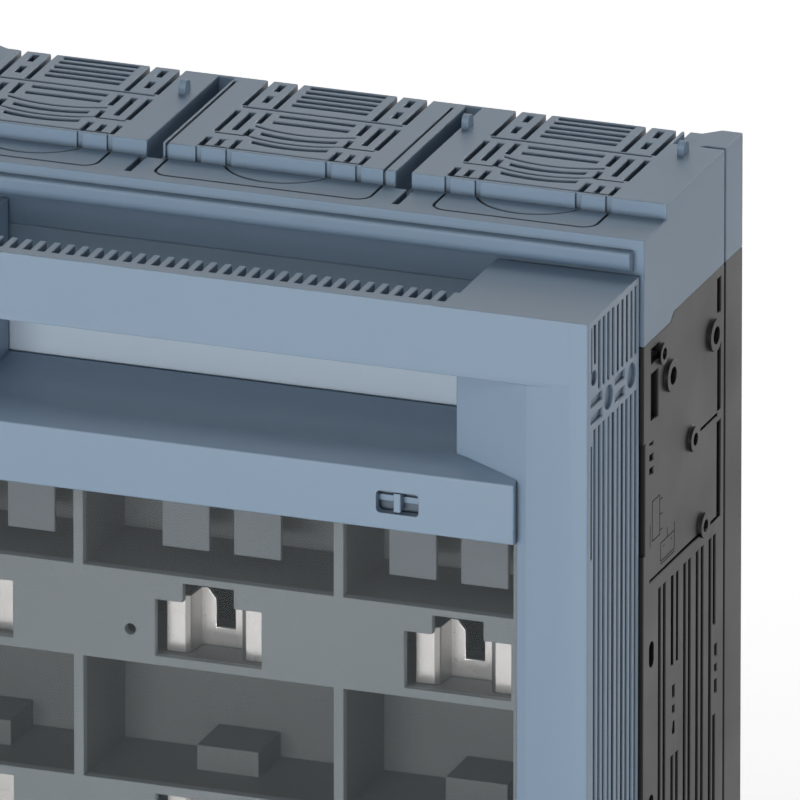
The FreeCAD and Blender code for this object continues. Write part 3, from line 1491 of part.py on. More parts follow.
def hinge_brackets():
    """The two ears on the housing that carry the cover."""
    axis_depth = S.coverDepth - S.hingeInset
    axis_height = S.plateauRise + S.hingeInset
    for pole, hand in (("left", -1), ("right", 1)):
        centre = hand * S.hingeAcross
        edges = (centre - S.hingeEarHalf, centre + S.hingeEarHalf)
        eye = rod("ear_eye", S.hingeEarRadius, (edges[0], axis_depth, axis_height),
                  S.hingeEarHalf * 2, "x")
        web = block("ear_web", edges, (axis_depth, frontPlane),
                    (axis_height - 4.0, axis_height + S.hingeEarRadius))
        foot = block("ear_foot", edges, (frontPlane - S.bracketPlate, frontPlane),
                     (axis_height - 4.0, S.bracketTop))
        bore = rod("ear_bore", S.hingePin + S.hingeClear, (edges[0] - beyond, axis_depth, axis_height),
                   S.hingeEarHalf * 2 + beyond * 2, "x")
        keep(f"hinge_bracket_{pole}", cut("bracket_cut", fuse("bracket", [eye, web, foot]), [bore]))
    pins = []
    reach = S.hingeEarHalf + S.hingeSideClear + S.hingeLug
    for hand in (-1, 1):
        pins.append(rod("hinge_pin", S.hingePin, (hand * S.hingeAcross - reach, axis_depth, axis_height),
                        reach * 2, "x"))
    keep("hinge_pins", group("pins", pins))


def latch():
    """The slider with its thumb rib and bolt, and the keeper that it locks into."""
    centre = S.latchAcross
    height = below(S.latchDrop)
    clear = S.latchClear
    plate_half = S.latchSlotHeight / 2 + 1.5
    rail_front = S.coverWall + clear
    front = rail_front + S.latchRailRise
    reach = S.latchSlotLength / 2 + S.latchTravel + 2.0
    plate = block("latch_plate", (centre - reach, centre + reach), (front, front + S.latchPlate),
                  (height - plate_half, height + plate_half))
    rail = block("latch_rail", (centre - reach, centre + reach), (rail_front, front + clear),
                 (height - S.latchRailDown, height + S.latchRailUp))
    thumb = block("latch_thumb", (centre - S.latchThumbLeft, centre + S.latchThumbRight),
                  (0.2, front + clear), (height - S.latchThumbHalf, height + S.latchThumbHalf))
    tip = centre - reach
    tongue_back = front + S.latchTravel * 2
    tongue_front = tongue_back - S.latchWall * 2
    neck = block("latch_neck", (tip + S.latchTravel, tip + S.latchTravel * 2), (front, tongue_back),
                 (height - S.latchTongue, height + S.latchTongue))
    tongue = block("latch_tongue", (tip, tip + S.latchTravel + S.latchWall), (tongue_front, tongue_back),
                   (height - S.latchTongue, height + S.latchTongue))
    keep("latch_slider", fuse("slider", [plate, rail, thumb, neck, tongue]))
    pocket_front = tongue_front - clear
    pocket_half = S.latchTongue + S.latchWall / 2
    arm_half = pocket_half + S.latchWall
    arm = block("keeper_arm", (tip - S.latchTravel * 2, tip - clear),
                (pocket_front - S.latchWall, frontPlane), (height - arm_half, height + arm_half))
    pocket = block("keeper_pocket", (tip - S.latchTravel - clear * 2, tip + beyond),
                   (pocket_front, tongue_back + clear), (height - pocket_half, height + pocket_half))
    keep("latch_keeper", cut("keeper_cut", arm, [pocket]))


terminal_shrouds()
rear_covers()
base_housing()
contact_plates()
rear_frame()
housing_screws()
fixing_inserts()
terminal_bolts()
contact_sets()
hinge_brackets()
latch()
handle_cover()
inspection_window()
fuse_carrier()
carrier_screws()
carrier_fittings()
doc.recompute()

for item in doc.Objects:
    if "Invalid" in item.State or "Error" in item.State:
        raise RuntimeError(f"{item.Name} did not build: {item.State}")
for item in parts:
    if item.Shape.isNull() or not item.Shape.isValid() or not item.Shape.Solids:
        raise RuntimeError(f"{item.Label} has no valid shape")

os.makedirs("parts", exist_ok=True)
for item in parts:
    item.Shape.exportStep(f"parts/{item.Label}.step")
    box = item.Shape.BoundBox
    print(f"{item.Label}: {len(item.Shape.Solids)} solids, {item.Shape.Volume:.0f} mm3, "
          f"x {box.XMin:.1f} to {box.XMax:.1f}, y {box.YMin:.1f} to {box.YMax:.1f}, "
          f"z {box.ZMin:.1f} to {box.ZMax:.1f}")
print(len(parts), "parts")
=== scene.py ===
import bpy
import bmesh
import math
import numpy as np
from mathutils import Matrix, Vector


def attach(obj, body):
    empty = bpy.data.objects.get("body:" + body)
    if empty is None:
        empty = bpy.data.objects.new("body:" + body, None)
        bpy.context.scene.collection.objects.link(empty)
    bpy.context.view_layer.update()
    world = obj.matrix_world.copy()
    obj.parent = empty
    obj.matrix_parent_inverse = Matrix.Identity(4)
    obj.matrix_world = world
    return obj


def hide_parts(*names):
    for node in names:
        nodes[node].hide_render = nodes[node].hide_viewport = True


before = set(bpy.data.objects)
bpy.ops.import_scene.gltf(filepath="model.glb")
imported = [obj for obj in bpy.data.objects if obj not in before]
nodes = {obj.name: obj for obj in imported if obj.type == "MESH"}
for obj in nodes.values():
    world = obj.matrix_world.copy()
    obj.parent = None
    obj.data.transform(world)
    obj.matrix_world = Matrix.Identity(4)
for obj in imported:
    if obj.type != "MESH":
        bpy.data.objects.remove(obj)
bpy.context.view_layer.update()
poleNames = ("left", "middle", "right")
endNames = ("upper", "lower")
print("frame loaded:", len(nodes), "nodes")


def addObject(name, data):
    item = bpy.data.objects.new(name, data)
    bpy.context.scene.collection.objects.link(item)
    return item


def dress(item, finish):
    item.data.materials.clear()
    item.data.materials.append(finish)


def newGroup(name, inputs, outputs):
    group = bpy.data.node_groups.new(name, "ShaderNodeTree")
    for label, kind, value in inputs:
        socket = group.interface.new_socket(name=label, in_out="INPUT", socket_type=kind)
        socket.default_value = value
    for label, kind in outputs:
        group.interface.new_socket(name=label, in_out="OUTPUT", socket_type=kind)
    return group, group.nodes.new("NodeGroupInput"), group.nodes.new("NodeGroupOutput")


def addNode(tree, kind, **settings):
    node = tree.nodes.new(kind)
    for key, value in settings.items():
        setattr(node, key, value)
    return node


def noiseNode(tree, vector, scale, detail):
    noise = addNode(tree, "ShaderNodeTexNoise")
    noise.inputs["Detail"].default_value = detail
    if isinstance(scale, (int, float)):
        noise.inputs["Scale"].default_value = scale
    else:
        tree.links.new(scale, noise.inputs["Scale"])
    tree.links.new(vector, noise.inputs["Vector"])
    return noise.outputs["Fac"]


def mathNode(tree, operation, first, second):
    node = addNode(tree, "ShaderNodeMath", operation=operation)
    for slot, value in enumerate((first, second)):
        if isinstance(value, (int, float)):
            node.inputs[slot].default_value = value
        else:
            tree.links.new(value, node.inputs[slot])
    return node.outputs[0]


# fine sparked grain of a moulding, with the slow cloudiness of the plastic under it
grainShape = {
    "grainScale": 2600.0, "fineDetail": 2.0, "coarseScale": 0.31, "coarseDetail": 1.0, "coarseShare": 0.35,
    "cloudScale": 22.0, "cloudDetail": 3.0,
}


def buildMouldGrain(shape):
    group, start, end = newGroup(
        "mouldGrain",
        [("Grain Scale", "NodeSocketFloat", shape["grainScale"]),
         ("Cloud Scale", "NodeSocketFloat", shape["cloudScale"])],
        [("Height", "NodeSocketFloat"), ("Cloud", "NodeSocketFloat"), ("Speck", "NodeSocketFloat")])
    coord = addNode(group, "ShaderNodeTexCoord").outputs["Object"]
    fine = noiseNode(group, coord, start.outputs["Grain Scale"], shape["fineDetail"])
    coarseScale = mathNode(group, "MULTIPLY", start.outputs["Grain Scale"], shape["coarseScale"])
    coarse = noiseNode(group, coord, coarseScale, shape["coarseDetail"])
    height = mathNode(group, "ADD", mathNode(group, "MULTIPLY", fine, 1 - shape["coarseShare"]),
                      mathNode(group, "MULTIPLY", coarse, shape["coarseShare"]))
    cloud = noiseNode(group, coord, start.outputs["Cloud Scale"], shape["cloudDetail"])
    group.links.new(height, end.inputs["Height"])
    group.links.new(cloud, end.inputs["Cloud"])
    group.links.new(fine, end.inputs["Speck"])
    return group


# thin dust that settles on what faces up, broken into patches
dustShape = {
    "amount": 0.2, "facingFrom": 0.45,
    "patchScale": 70.0, "patchDetail": 5.0, "patchFrom": 0.35, "patchTo": 0.75,
}


def buildSettledDust(shape):
    group, start, end = newGroup(
        "settledDust",
        [("Amount", "NodeSocketFloat", shape["amount"]),
         ("Patch Scale", "NodeSocketFloat", shape["patchScale"])],
        [("Dust", "NodeSocketFloat")])
    coord = addNode(group, "ShaderNodeTexCoord").outputs["Object"]
    facing = addNode(group, "ShaderNodeSeparateXYZ")
    group.links.new(addNode(group, "ShaderNodeNewGeometry").outputs["Normal"], facing.inputs[0])
    upward = addNode(group, "ShaderNodeMapRange")
    group.links.new(facing.outputs["Z"], upward.inputs["Value"])
    upward.inputs["From Min"].default_value = shape["facingFrom"]
    patch = addNode(group, "ShaderNodeMapRange")
    cloud = noiseNode(group, coord, start.outputs["Patch Scale"], shape["patchDetail"])
    group.links.new(cloud, patch.inputs["Value"])
    patch.inputs["From Min"].default_value = shape["patchFrom"]
    patch.inputs["From Max"].default_value = shape["patchTo"]
    film = mathNode(group, "MULTIPLY", upward.outputs[0], patch.outputs[0])
    group.links.new(mathNode(group, "MULTIPLY", film, start.outputs["Amount"]), end.inputs["Dust"])
    return group


# lines that a brush, a roll or a lathe leaves in metal
lineShape = {
    "stretch": (1.0, 1.0, 1.0), "lineScale": 900.0, "lineDetail": 3.0, "stainScale": 130.0, "stainDetail": 4.0,
}


def buildDrawnLines(shape):
    group, start, end = newGroup(
        "drawnLines",
        [("Stretch", "NodeSocketVector", shape["stretch"]),
         ("Line Scale", "NodeSocketFloat", shape["lineScale"])],
        [("Height", "NodeSocketFloat"), ("Stain", "NodeSocketFloat")])
    coord = addNode(group, "ShaderNodeTexCoord").outputs["Object"]
    stretched = addNode(group, "ShaderNodeVectorMath", operation="MULTIPLY")
    group.links.new(coord, stretched.inputs[0])
    group.links.new(start.outputs["Stretch"], stretched.inputs[1])
    lines = noiseNode(group, stretched.outputs[0], start.outputs["Line Scale"], shape["lineDetail"])
    stain = noiseNode(group, coord, shape["stainScale"], shape["stainDetail"])
    group.links.new(lines, end.inputs["Height"])
    group.links.new(stain, end.inputs["Stain"])
    return group


mouldGrain = buildMouldGrain(grainShape)
settledDust = buildSettledDust(dustShape)
drawnLines = buildDrawnLines(lineShape)
print("shader groups built")


def newMaterial(name):
    material = bpy.data.materials.new(name)
    material.use_nodes = True
    tree = material.node_tree
    shader = tree.nodes["Principled BSDF"]
    return material, tree, shader


def placeGroup(tree, group, **inputs):
    node = addNode(tree, "ShaderNodeGroup", node_tree=group)
    for label, value in inputs.items():
        node.inputs[label.replace("_", " ")].default_value = value
    return node


# where a mix node keeps the sockets of its colours
mixSockets = {"first": 6, "second": 7, "result": 2}


def mixColour(tree, factor, first, second):
    mix = addNode(tree, "ShaderNodeMix", data_type="RGBA")
    tree.links.new(factor, mix.inputs["Factor"])
    for label, value in (("first", first), ("second", second)):
        socket = mix.inputs[mixSockets[label]]
        if isinstance(value, tuple):
            socket.default_value = (*value, 1.0)
        else:
            tree.links.new(value, socket)
    return mix.outputs[mixSockets["result"]]


# a source between two limits, by default the usual reach of noise, laid over another range
def spread(tree, source, low, high, fromLow=0.3, fromHigh=0.7):
    ranged = addNode(tree, "ShaderNodeMapRange")
    tree.links.new(source, ranged.inputs["Value"])
    for label, value in (("From Min", fromLow), ("From Max", fromHigh), ("To Min", low), ("To Max", high)):
        ranged.inputs[label].default_value = value
    return ranged.outputs[0]


# rays that a rounded edge and a groove's painted shade are sampled with
edgeSamples = 4


def bumped(tree, shader, height, distance, strength, rounding=0.0):
    bump = addNode(tree, "ShaderNodeBump")
    if rounding:
        edge = addNode(tree, "ShaderNodeBevel", samples=edgeSamples)
        edge.inputs["Radius"].default_value = rounding
        tree.links.new(edge.outputs["Normal"], bump.inputs["Normal"])
    bump.inputs["Distance"].default_value = distance
    bump.inputs["Strength"].default_value = strength
    tree.links.new(height, bump.inputs["Height"])
    tree.links.new(bump.outputs["Normal"], shader.inputs["Normal"])


def shade(colour, factor):
    return tuple(channel * factor for channel in colour)


# what all moulded plastics here have in common
mouldShape = {
    "hollowFrom": 0.3, "hollowTo": 0.65, "speckFrom": 0.45, "speckTo": 0.8,
    "roughSpread": 0.05, "dustRoughness": 0.4, "bumpStrength": 0.6,
}


# painted shade mask: nought on open faces and one deep in grooves, slots and inner corners
def paintedGrooveShade(tree, reach):
    hollow = addNode(tree, "ShaderNodeAmbientOcclusion", samples=edgeSamples, only_local=True)
    hollow.inputs["Distance"].default_value = reach
    return spread(tree, hollow.outputs["AO"], 1.0, 0.0, mouldShape["hollowFrom"], mouldShape["hollowTo"])


# a look with a second colour changes to it past a share of the piece's box
def mouldedPlastic(name, look):
    material, tree, shader = newMaterial(name)
    grain = placeGroup(tree, mouldGrain, Grain_Scale=look["grainScale"], Cloud_Scale=look["cloudScale"])
    dust = placeGroup(tree, settledDust, Amount=look["dust"], Patch_Scale=dustShape["patchScale"])
    colour = mixColour(tree, spread(tree, grain.outputs["Cloud"], 0.0, 1.0),
                       shade(look["colour"], 1 - look["cloud"]), shade(look["colour"], 1 + look["cloud"]))
    specks = spread(tree, grain.outputs["Speck"], 0.0, look["speck"],
                    mouldShape["speckFrom"], mouldShape["speckTo"])
    colour = mixColour(tree, specks, colour, look["speckColour"])
    # painted shade: in grooves, slots and inner corners the colour turns to a darker copy of itself
    colour = mixColour(tree, paintedGrooveShade(tree, look["shadeReach"]), colour, shade(look["colour"], look["shade"]))
    if "second" in look:
        across = addNode(tree, "ShaderNodeSeparateXYZ")
        tree.links.new(addNode(tree, "ShaderNodeTexCoord").outputs["Generated"], across.inputs[0])
        past = spread(tree, across.outputs[look["secondAxis"]], 0.0, 1.0, look["secondFrom"], look["secondTo"])
        colour = mixColour(tree, past, colour, look["second"])
    colour = mixColour(tree, dust.outputs["Dust"], colour, look["dustColour"])
    tree.links.new(colour, shader.inputs["Base Color"])
    rough = spread(tree, grain.outputs["Cloud"], look["roughness"] - mouldShape["roughSpread"],
                   look["roughness"] + mouldShape["roughSpread"])
    dustRough = mathNode(tree, "MULTIPLY", dust.outputs["Dust"], mouldShape["dustRoughness"])
    tree.links.new(mathNode(tree, "ADD", rough, dustRough), shader.inputs["Roughness"])
    shader.inputs["Specular IOR Level"].default_value = look["gloss"]
    bumped(tree, shader, grain.outputs["Height"], look["grainDepth"], mouldShape["bumpStrength"],
           look["rounding"])
    return material


# what all plated and turned metals here have in common
metalShape = {"stainFrom": 0.35, "stainTo": 0.75, "bumpStrength": 0.5}


def platedMetal(name, look):
    material, tree, shader = newMaterial(name)
    lines = placeGroup(tree, drawnLines, Stretch=look["stretch"], Line_Scale=look["lineScale"])
    stained = spread(tree, lines.outputs["Stain"], 0.0, 1.0, metalShape["stainFrom"], metalShape["stainTo"])
    base = mixColour(tree, stained, look["colour"], look["stain"])
    tree.links.new(base, shader.inputs["Base Color"])
    shader.inputs["Metallic"].default_value = 1.0
    tree.links.new(spread(tree, lines.outputs["Height"], look["roughness"] - look["roughSpread"],
                          look["roughness"] + look["roughSpread"]), shader.inputs["Roughness"])
    bumped(tree, shader, lines.outputs["Height"], look["lineDepth"], metalShape["bumpStrength"])
    return material


def smokedPane(name, look):
    material, tree, shader = newMaterial(name)
    grain = placeGroup(tree, mouldGrain, Grain_Scale=look["grainScale"], Cloud_Scale=look["cloudScale"])
    cloud = grain.outputs["Cloud"]
    tree.links.new(mixColour(tree, spread(tree, cloud, 0.0, 1.0), look["colour"], look["deepColour"]),
                   shader.inputs["Base Color"])
    alpha = spread(tree, cloud, look["alpha"] - look["alphaSpread"], look["alpha"] + look["alphaSpread"])
    tree.links.new(alpha, shader.inputs["Alpha"])
    tree.links.new(spread(tree, cloud, look["roughFrom"], look["roughTo"]), shader.inputs["Roughness"])
    shader.inputs["IOR"].default_value = look["ior"]
    shader.inputs["Specular IOR Level"].default_value = look["gloss"]
    bumped(tree, shader, cloud, look["waveDepth"], look["waveStrength"])
    return material


# lengths in metres, angles in degrees, and the room an edge needs beside it in widths of its bevel
breakShape = {
    "weld": 0.00001, "flatAngle": 1.0, "shortest": 0.00002, "sharpAngle": 28.0, "smoothAngle": 50.0,
    "room": 2.4, "inLine": 0.8, "openRoom": 1.0, "segments": 2, "profile": 0.5, "weight": 100,
}


# the room across a face beside one of its edges: the least distance to the edges apart from it,
# or the length of one that turns off at its end
def roomBeside(edge, face):
    start, end = (np.array(vert.co) for vert in edge.verts)
    along = end - start
    own = set(edge.verts)
    room = breakShape["openRoom"]
    far = []
    for other in face.edges:
        if other is edge:
            continue
        if own & set(other.verts):
            reach = other.verts[1].co - other.verts[0].co
            if abs(reach.normalized().dot(Vector(along).normalized())) < breakShape["inLine"]:
                room = min(room, other.calc_length())
        else:
            far.append(other)
    if not far:
        return room
    low = np.array([other.verts[0].co for other in far])
    high = np.array([other.verts[1].co for other in far])
    for points in (low, high):
        share = np.clip((points - start) @ along / (along @ along), 0.0, 1.0)
        room = min(room, np.linalg.norm(points - start - share[:, None] * along, axis=1).min())
    reach = high - low
    for point in (start, end):
        share = np.clip(((point - low) * reach).sum(axis=1) / (reach * reach).sum(axis=1), 0.0, 1.0)
        room = min(room, np.linalg.norm(point - low - share[:, None] * reach, axis=1).min())
    return room


# a copy of a CAD piece whose sharp outer edges are broken as a mould or a press breaks them
def softened(node, look):
    mesh = nodes[node].data.copy()
    work = bmesh.new()
    work.from_mesh(mesh)
    bmesh.ops.remove_doubles(work, verts=work.verts, dist=breakShape["weld"])
    bmesh.ops.dissolve_limit(work, angle_limit=math.radians(breakShape["flatAngle"]),
                             verts=work.verts, edges=work.edges)
    sharp = [edge for edge in work.edges if len(edge.link_faces) == 2
             and edge.is_convex and edge.calc_length() > breakShape["shortest"]
             and edge.calc_face_angle(0.0) > math.radians(breakShape["sharpAngle"])]
    needed = breakShape["room"] * look["edge"]
    roomy = [edge for edge in sharp if all(roomBeside(edge, face) > needed for face in edge.link_faces)]
    bmesh.ops.bevel(work, geom=roomy, offset=look["edge"], offset_type="OFFSET",
                    segments=breakShape["segments"], profile=breakShape["profile"],
                    affect="EDGES", clamp_overlap=False)
    for edge in work.edges:
        edge.smooth = edge.calc_face_angle(0.0) < math.radians(breakShape["smoothAngle"])
    for face in work.faces:
        face.smooth = True
    work.to_mesh(mesh)
    work.free()
    piece = addObject(node + "_moulding", mesh)
    shading = piece.modifiers.new("shading", "WEIGHTED_NORMAL")
    shading.keep_sharp = True
    shading.weight = breakShape["weight"]
    print(node, "edges broken:", len(roomy), "of", len(sharp))
    return piece


# handle cover; the other grey mouldings take its look and change a little of it
coverLook = {
    "colour": (0.2, 0.28, 0.375), "cloud": 0.012, "cloudScale": 16.0,
    "grainScale": 2600.0, "grainDepth": 0.000025, "speck": 0.03, "speckColour": (0.42, 0.47, 0.53),
    "roughness": 0.38, "gloss": 0.4, "dust": 0.02, "dustColour": (0.5, 0.52, 0.54), "edge": 0.00045,
    # shade and shadeReach set the painted shade in grooves and inner corners
    "shade": 0.22, "shadeReach": 0.003, "rounding": 0.0006,
}
coverPlastic = mouldedPlastic("coverPlastic", coverLook)

shroudLook = dict(coverLook, colour=(0.18, 0.26, 0.352), roughness=0.42, cloud=0.015, edge=0.00035)
shroudPlastic = mouldedPlastic("shroudPlastic", shroudLook)

baseLook = {
    "colour": (0.0042, 0.0042, 0.005), "cloud": 0.1, "cloudScale": 24.0,
    "grainScale": 1900.0, "grainDepth": 0.00003, "speck": 0.04, "speckColour": (0.05, 0.05, 0.05),
    "roughness": 0.42, "gloss": 0.36, "dust": 0.03, "dustColour": (0.12, 0.12, 0.12), "edge": 0.00035,
    # shade and shadeReach set the painted shade in grooves and inner corners
    "shade": 0.3, "shadeReach": 0.003, "rounding": 0.0003,
}
basePlastic = mouldedPlastic("basePlastic", baseLook)

plateLook = dict(coverLook, colour=(0.345, 0.393, 0.435), speckColour=(0.6, 0.6, 0.6), cloud=0.02,
                 roughness=0.48, edge=0.0003)
platePlastic = mouldedPlastic("platePlastic", plateLook)
# pale in front of the contacts, and as blue as the shroud at the outer end
contactLook = dict(plateLook, colour=(0.39, 0.47, 0.55), second=(0.215, 0.3, 0.385), secondAxis="Z")
contactPlastic = {
    "upper": mouldedPlastic("upperContactPlastic", dict(contactLook, secondFrom=0.895, secondTo=0.9)),
    "lower": mouldedPlastic("lowerContactPlastic", dict(contactLook, secondFrom=0.105, secondTo=0.1)),
}

# painted shade: behind the front tenth of its depth the carrier darkens to the second colour, the shade inside
# the closed chamber behind the window
carrierLook = dict(coverLook, colour=(0.425, 0.479, 0.508), speckColour=(0.5, 0.52, 0.53), cloud=0.02,
                   roughness=0.5, edge=0.0003, second=(0.205, 0.224, 0.226),
                   secondAxis="Y", secondFrom=0.05, secondTo=0.1)
carrierPlastic = mouldedPlastic("carrierPlastic", carrierLook)

chuteLook = dict(baseLook, colour=(0.09, 0.082, 0.075), speckColour=(0.16, 0.14, 0.12), grainScale=900.0)
chutePlastic = mouldedPlastic("chutePlastic", chuteLook)

paneLook = {
    "colour": (0.055, 0.065, 0.07), "deepColour": (0.045, 0.055, 0.06), "alpha": 0.22, "alphaSpread": 0.015,
    "gloss": 0.3, "ior": 1.49, "roughFrom": 0.03, "roughTo": 0.07,
    "grainScale": 240.0, "cloudScale": 9.0, "waveDepth": 0.00004, "waveStrength": 0.3,
}
paneSmoke = smokedPane("paneSmoke", paneLook)

silverLook = {
    "colour": (0.75, 0.735, 0.72), "stain": (0.71, 0.69, 0.67), "roughness": 0.3, "roughSpread": 0.03,
    "stretch": (1.0, 1.0, 0.3), "lineScale": 2600.0, "lineDepth": 0.0000006, "edge": 0.00025,
}
silverPlate = platedMetal("silverPlate", silverLook)
springSteel = platedMetal("springSteel", dict(silverLook, colour=(0.5, 0.5, 0.5), stain=(0.4, 0.4, 0.41),
                                              roughSpread=0.07, lineDepth=0.000004))
zincPlate = platedMetal("zincPlate", dict(silverLook, colour=(0.62, 0.62, 0.6), stain=(0.5, 0.52, 0.5),
                                          roughness=0.36, roughSpread=0.08, lineDepth=0.000004,
                                          stretch=(1.0, 1.0, 1.0)))
turnedBrass = platedMetal("turnedBrass", dict(silverLook, colour=(0.78, 0.56, 0.24), stain=(0.6, 0.42, 0.18),
                                              roughSpread=0.08, lineDepth=0.000004,
                                              stretch=(0.05, 1.0, 0.05)))

# painted shade: past three tenths of its depth the slider darkens to the second colour, the shade inside the
# latch recess
latchLook = dict(coverLook, second=(0.09, 0.125, 0.165), secondAxis="Y", secondFrom=0.29, secondTo=0.31,
                 rounding=0.0003, edge=0.0002)
latchPlastic = mouldedPlastic("latchPlastic", latchLook)

finishes = {
    "base_housing": basePlastic, "rear_frame": basePlastic, "latch_keeper": basePlastic,
    "hinge_bracket_left": basePlastic, "hinge_bracket_right": basePlastic,
    "upper_terminal_shroud": shroudPlastic, "lower_terminal_shroud": shroudPlastic,
    "upper_rear_cover": shroudPlastic, "lower_rear_cover": shroudPlastic,
    "upper_contact_plate": contactPlastic["upper"], "lower_contact_plate": contactPlastic["lower"],
    "contact_bar_screws": zincPlate, "rear_frame_screws": zincPlate, "carrier_screws": zincPlate,
    "terminal_bolts": zincPlate, "terminal_washers": zincPlate, "hinge_pins": zincPlate,
    "fixing_inserts": turnedBrass, "latch_slider": latchPlastic, "handle_cover": coverPlastic,
    "inspection_window": paneSmoke, "fuse_carrier": carrierPlastic,
}
families = {
    "contact_jaw": silverPlate, "jaw_springs": springSteel, "terminal_bar": silverPlate,
    "arc_chute": chutePlastic, "fuse_clip": silverPlate, "blade_shield": platePlastic,
}
for family, finish in families.items():
    for end in endNames:
        for pole in poleNames:
            finishes[f"{end}_{family}_{pole}"] = finish
for node, finish in finishes.items():
    dress(nodes[node], finish)
print("finishes on", len(finishes), "nodes")

# pieces with broken edges, each over its own CAD node
mouldings = {
    "handle_cover": ("fuse_cover", coverPlastic, coverLook, "cover_plastic"),
    "fuse_carrier": ("fuse_cover", carrierPlastic, carrierLook, "carrier_plastic"),
    "latch_slider": ("latch", latchPlastic, latchLook, "cover_plastic"),
    "base_housing": ("housing", basePlastic, baseLook, "base_plastic"),
    "rear_frame": ("housing", basePlastic, baseLook, "base_plastic"),
}
for end in endNames:
    mouldings[f"{end}_terminal_shroud"] = ("housing", shroudPlastic, shroudLook, "shroud_plastic")
    mouldings[f"{end}_rear_cover"] = ("housing", shroudPlastic, shroudLook, "shroud_plastic")
    mouldings[f"{end}_contact_plate"] = ("housing", contactPlastic[end], contactLook, "plate_plastic")
    for pole in poleNames:
        mouldings[f"{end}_fuse_clip_{pole}"] = ("fuse_cover", silverPlate, silverLook, "contact_metal")
        mouldings[f"{end}_blade_shield_{pole}"] = ("fuse_cover", platePlastic, plateLook, "plate_plastic")
for node, (body, finish, look, slot) in mouldings.items():
    piece = softened(node, look)
    dress(piece, finish)
    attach(piece, body)
    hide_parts(node)
print("edges broken on", len(mouldings), "pieces")

# fine outlines of the fixing parts on the right side of the base, in millimetres, drawn as thin matt black
# strips whose black is painted shade standing in for engraved grooves
# each is (depth, drop, depth, drop): depth back from the face of the grip, drop from the top of the cover
outlineLook = {
    "face": 125.2, "rise": 0.03, "line": 0.3, "top": 313.0, "front": 67.5,
    "frames": [(54.5, 75.0, 61.1, 87.7), (62.0, 90.9, 74.2, 96.7)],
    "strokes": [(52.6, 82.0, 52.6, 89.1), (61.1, 76.6, 63.3, 76.6), (61.1, 81.4, 63.3, 81.4),
                (61.1, 86.4, 63.3, 86.4), (67.9, 87.9, 67.9, 90.9), (74.2, 88.2, 74.2, 90.9),
                (64.4, 92.6, 65.2, 92.6), (71.2, 92.6, 72.0, 92.6), (62.0, 97.6, 74.2, 97.6)],
    "colour": (0.003, 0.003, 0.003), "cloud": 1.6, "grainScale": 1900.0, "cloudScale": 24.0,
    "roughness": 0.9, "gloss": 0.08,
}


def buildOutlines(look):
    strokes = list(look["strokes"])
    for near, high, far, low in look["frames"]:
        strokes += [(near, high, far, high), (near, low, far, low),
                    (near, high, near, low), (far, high, far, low)]
    work = bmesh.new()
    for near, high, far, low in strokes:
        size = (look["rise"] * 2, far - near + look["line"], low - high + look["line"])
        centre = (look["face"], (near + far) / 2 - look["front"], look["top"] - (high + low) / 2)
        made = bmesh.ops.create_cube(work, size=1.0)["verts"]
        bmesh.ops.scale(work, vec=Vector(size) / 1000, verts=made)
        bmesh.ops.translate(work, vec=Vector(centre) / 1000, verts=made)
    mesh = bpy.data.meshes.new("fixing_outlines")
    work.to_mesh(mesh)
    work.free()
    outlines = addObject("fixing_outlines", mesh)
    # the black of the outlines is painted shade of the engraved grooves
    material, tree, shader = newMaterial("outlineGrooveShade")
    grain = placeGroup(tree, mouldGrain, Grain_Scale=look["grainScale"], Cloud_Scale=look["cloudScale"])
    tree.links.new(mixColour(tree, spread(tree, grain.outputs["Cloud"], 0.0, 1.0), look["colour"],
                             shade(look["colour"], look["cloud"])), shader.inputs["Base Color"])
    shader.inputs["Roughness"].default_value = look["roughness"]
    shader.inputs["Specular IOR Level"].default_value = look["gloss"]
    mesh.materials.append(material)
    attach(outlines, "housing")


buildOutlines(outlineLook)
print("outlines on the base")

# studio: lengths in metres, angles in degrees, and the camera fitted to the photo
studioLook = {
    "floorSize": 60.0, "floorColour": (0.86, 0.86, 0.86), "floorRoughness": 0.9, "floorGlow": 0.6,
    # pool: painted light, a brighter glow on the floor in front of the object, seen only by the camera,
    # through glass and in reflections, that paints a sheen on the flat front faces
    "poolPlace": (-0.2, -0.72, 0.0), "poolReach": 0.42, "poolGlow": 2.0,
    "ambient": 0.02, "ambientColour": (1.0, 1.0, 1.0),
    "target": (0.0643, -0.0675, 0.28164), "azimuth": 20.12, "elevation": 20.06, "distance": 10.06,
    "frameWidth": 0.23962, "sensorWidth": 36.0, "clipEnd": 100.0, "lampAim": (0.0, 0.0, 0.25),
}


# one where the eye, gloss or glass looks, and nought for the light that falls on the object
def seenDirectly(tree):
    path = addNode(tree, "ShaderNodeLightPath")
    seen = mathNode(tree, "MAXIMUM", path.outputs["Is Camera Ray"], path.outputs["Is Transmission Ray"])
    return mathNode(tree, "MAXIMUM", seen, path.outputs["Is Glossy Ray"])


def buildFloor(look):
    half = look["floorSize"] / 2
    mesh = bpy.data.meshes.new("floor")
    corners = [(-half, -half, 0), (half, -half, 0), (half, half, 0), (-half, half, 0)]
    mesh.from_pydata(corners, [], [(0, 1, 2, 3)])
    floor = addObject("floor", mesh)
    material, tree, shader = newMaterial("floorPaper")
    shader.inputs["Base Color"].default_value = (*look["floorColour"], 1.0)
    shader.inputs["Roughness"].default_value = look["floorRoughness"]
    shader.inputs["Emission Color"].default_value = (1.0, 1.0, 1.0, 1.0)
    distance = addNode(tree, "ShaderNodeVectorMath", operation="DISTANCE")
    tree.links.new(addNode(tree, "ShaderNodeNewGeometry").outputs["Position"], distance.inputs[0])
    distance.inputs[1].default_value = look["poolPlace"]
    # painted light: the glowing pool that only the camera, glass and reflections see
    pool = spread(tree, distance.outputs["Value"], look["poolGlow"], 0.0, 0.0, look["poolReach"])
    glow = mathNode(tree, "ADD", pool, look["floorGlow"])
    tree.links.new(mathNode(tree, "MULTIPLY", seenDirectly(tree), glow), shader.inputs["Emission Strength"])
    mesh.materials.append(material)


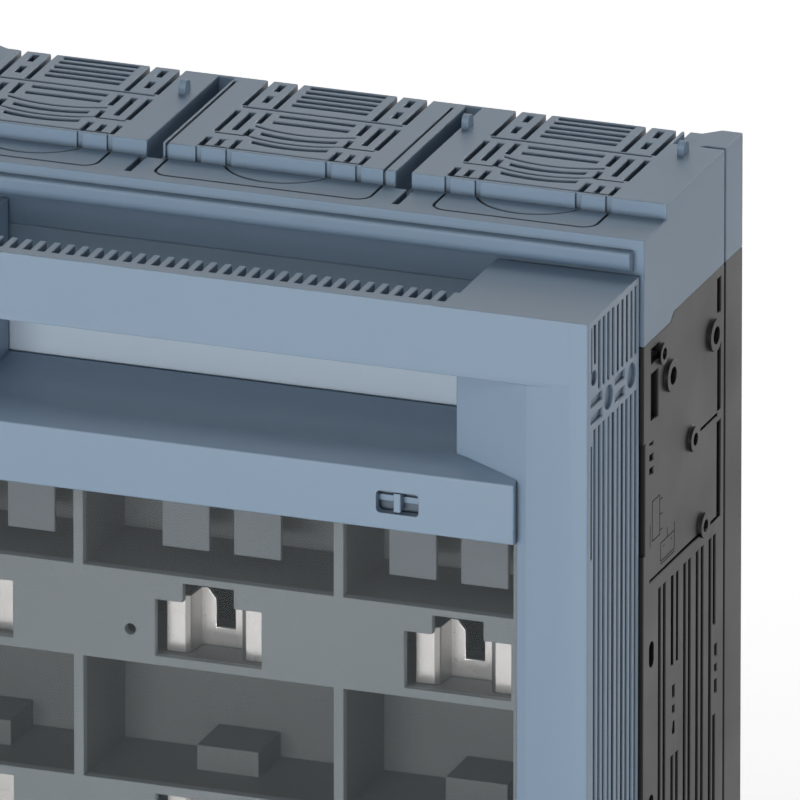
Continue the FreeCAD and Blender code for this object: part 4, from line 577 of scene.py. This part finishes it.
def buildSky(look):
    world = bpy.data.worlds.new("studio")
    world.use_nodes = True
    bpy.context.scene.world = world
    tree = world.node_tree
    room = tree.nodes["Background"]
    room.inputs["Color"].default_value = (*look["ambientColour"], 1.0)
    room.inputs["Strength"].default_value = look["ambient"]
    white = addNode(tree, "ShaderNodeBackground")
    white.inputs["Color"].default_value = (1.0, 1.0, 1.0, 1.0)
    mix = addNode(tree, "ShaderNodeMixShader")
    tree.links.new(seenDirectly(tree), mix.inputs[0])
    tree.links.new(room.outputs[0], mix.inputs[1])
    tree.links.new(white.outputs[0], mix.inputs[2])
    tree.links.new(mix.outputs[0], tree.nodes["World Output"].inputs["Surface"])


def softbox(name, place, aim, size, power):
    lamp = bpy.data.lights.new(name, "AREA")
    lamp.shape = "RECTANGLE"
    lamp.size, lamp.size_y = size
    lamp.energy = power
    box = addObject(name, lamp)
    box.location = place
    box.rotation_euler = (Vector(aim) - Vector(place)).to_track_quat("-Z", "Y").to_euler()
    box.visible_camera = False


def buildCamera(look):
    target = Vector(look["target"])
    turn, rise = math.radians(look["azimuth"]), math.radians(look["elevation"])
    back = Vector((math.sin(turn) * math.cos(rise), -math.cos(turn) * math.cos(rise), math.sin(rise)))
    lens = bpy.data.cameras.new("camera")
    lens.sensor_width = look["sensorWidth"]
    lens.lens = look["sensorWidth"] * look["distance"] / look["frameWidth"]
    lens.clip_end = look["clipEnd"]
    camera = addObject("camera", lens)
    camera.location = target + back * look["distance"]
    camera.rotation_euler = (-back).to_track_quat("-Z", "Y").to_euler()
    bpy.context.scene.camera = camera


buildFloor(studioLook)
buildSky(studioLook)
# name, place, width and height, watts
softboxes = [
    ("frontBox", (-0.3, -3.0, 0.62), (1.8, 0.7), 15.5),
    ("highBox", (0.0, -2.2, 2.2), (1.4, 1.0), 12.3),
    ("lowBox", (0.0, -3.0, 0.18), (1.8, 0.3), 40.0),
    ("topBox", (0.0, 1.6, 2.2), (1.6, 1.0), 14.5),
    ("rightBox", (2.6, -0.3, 0.7), (1.2, 1.2), 11.5),
    ("leftBox", (-2.8, 0.4, 0.8), (1.2, 1.2), 12.0),
    ("backBox", (0.5, 3.2, 0.9), (1.8, 1.0), 22.0),
]
for name, place, size, power in softboxes:
    softbox(name, place, studioLook["lampAim"], size, power)
buildCamera(studioLook)
bpy.context.scene.view_settings.view_transform = "Standard"
print("studio built")
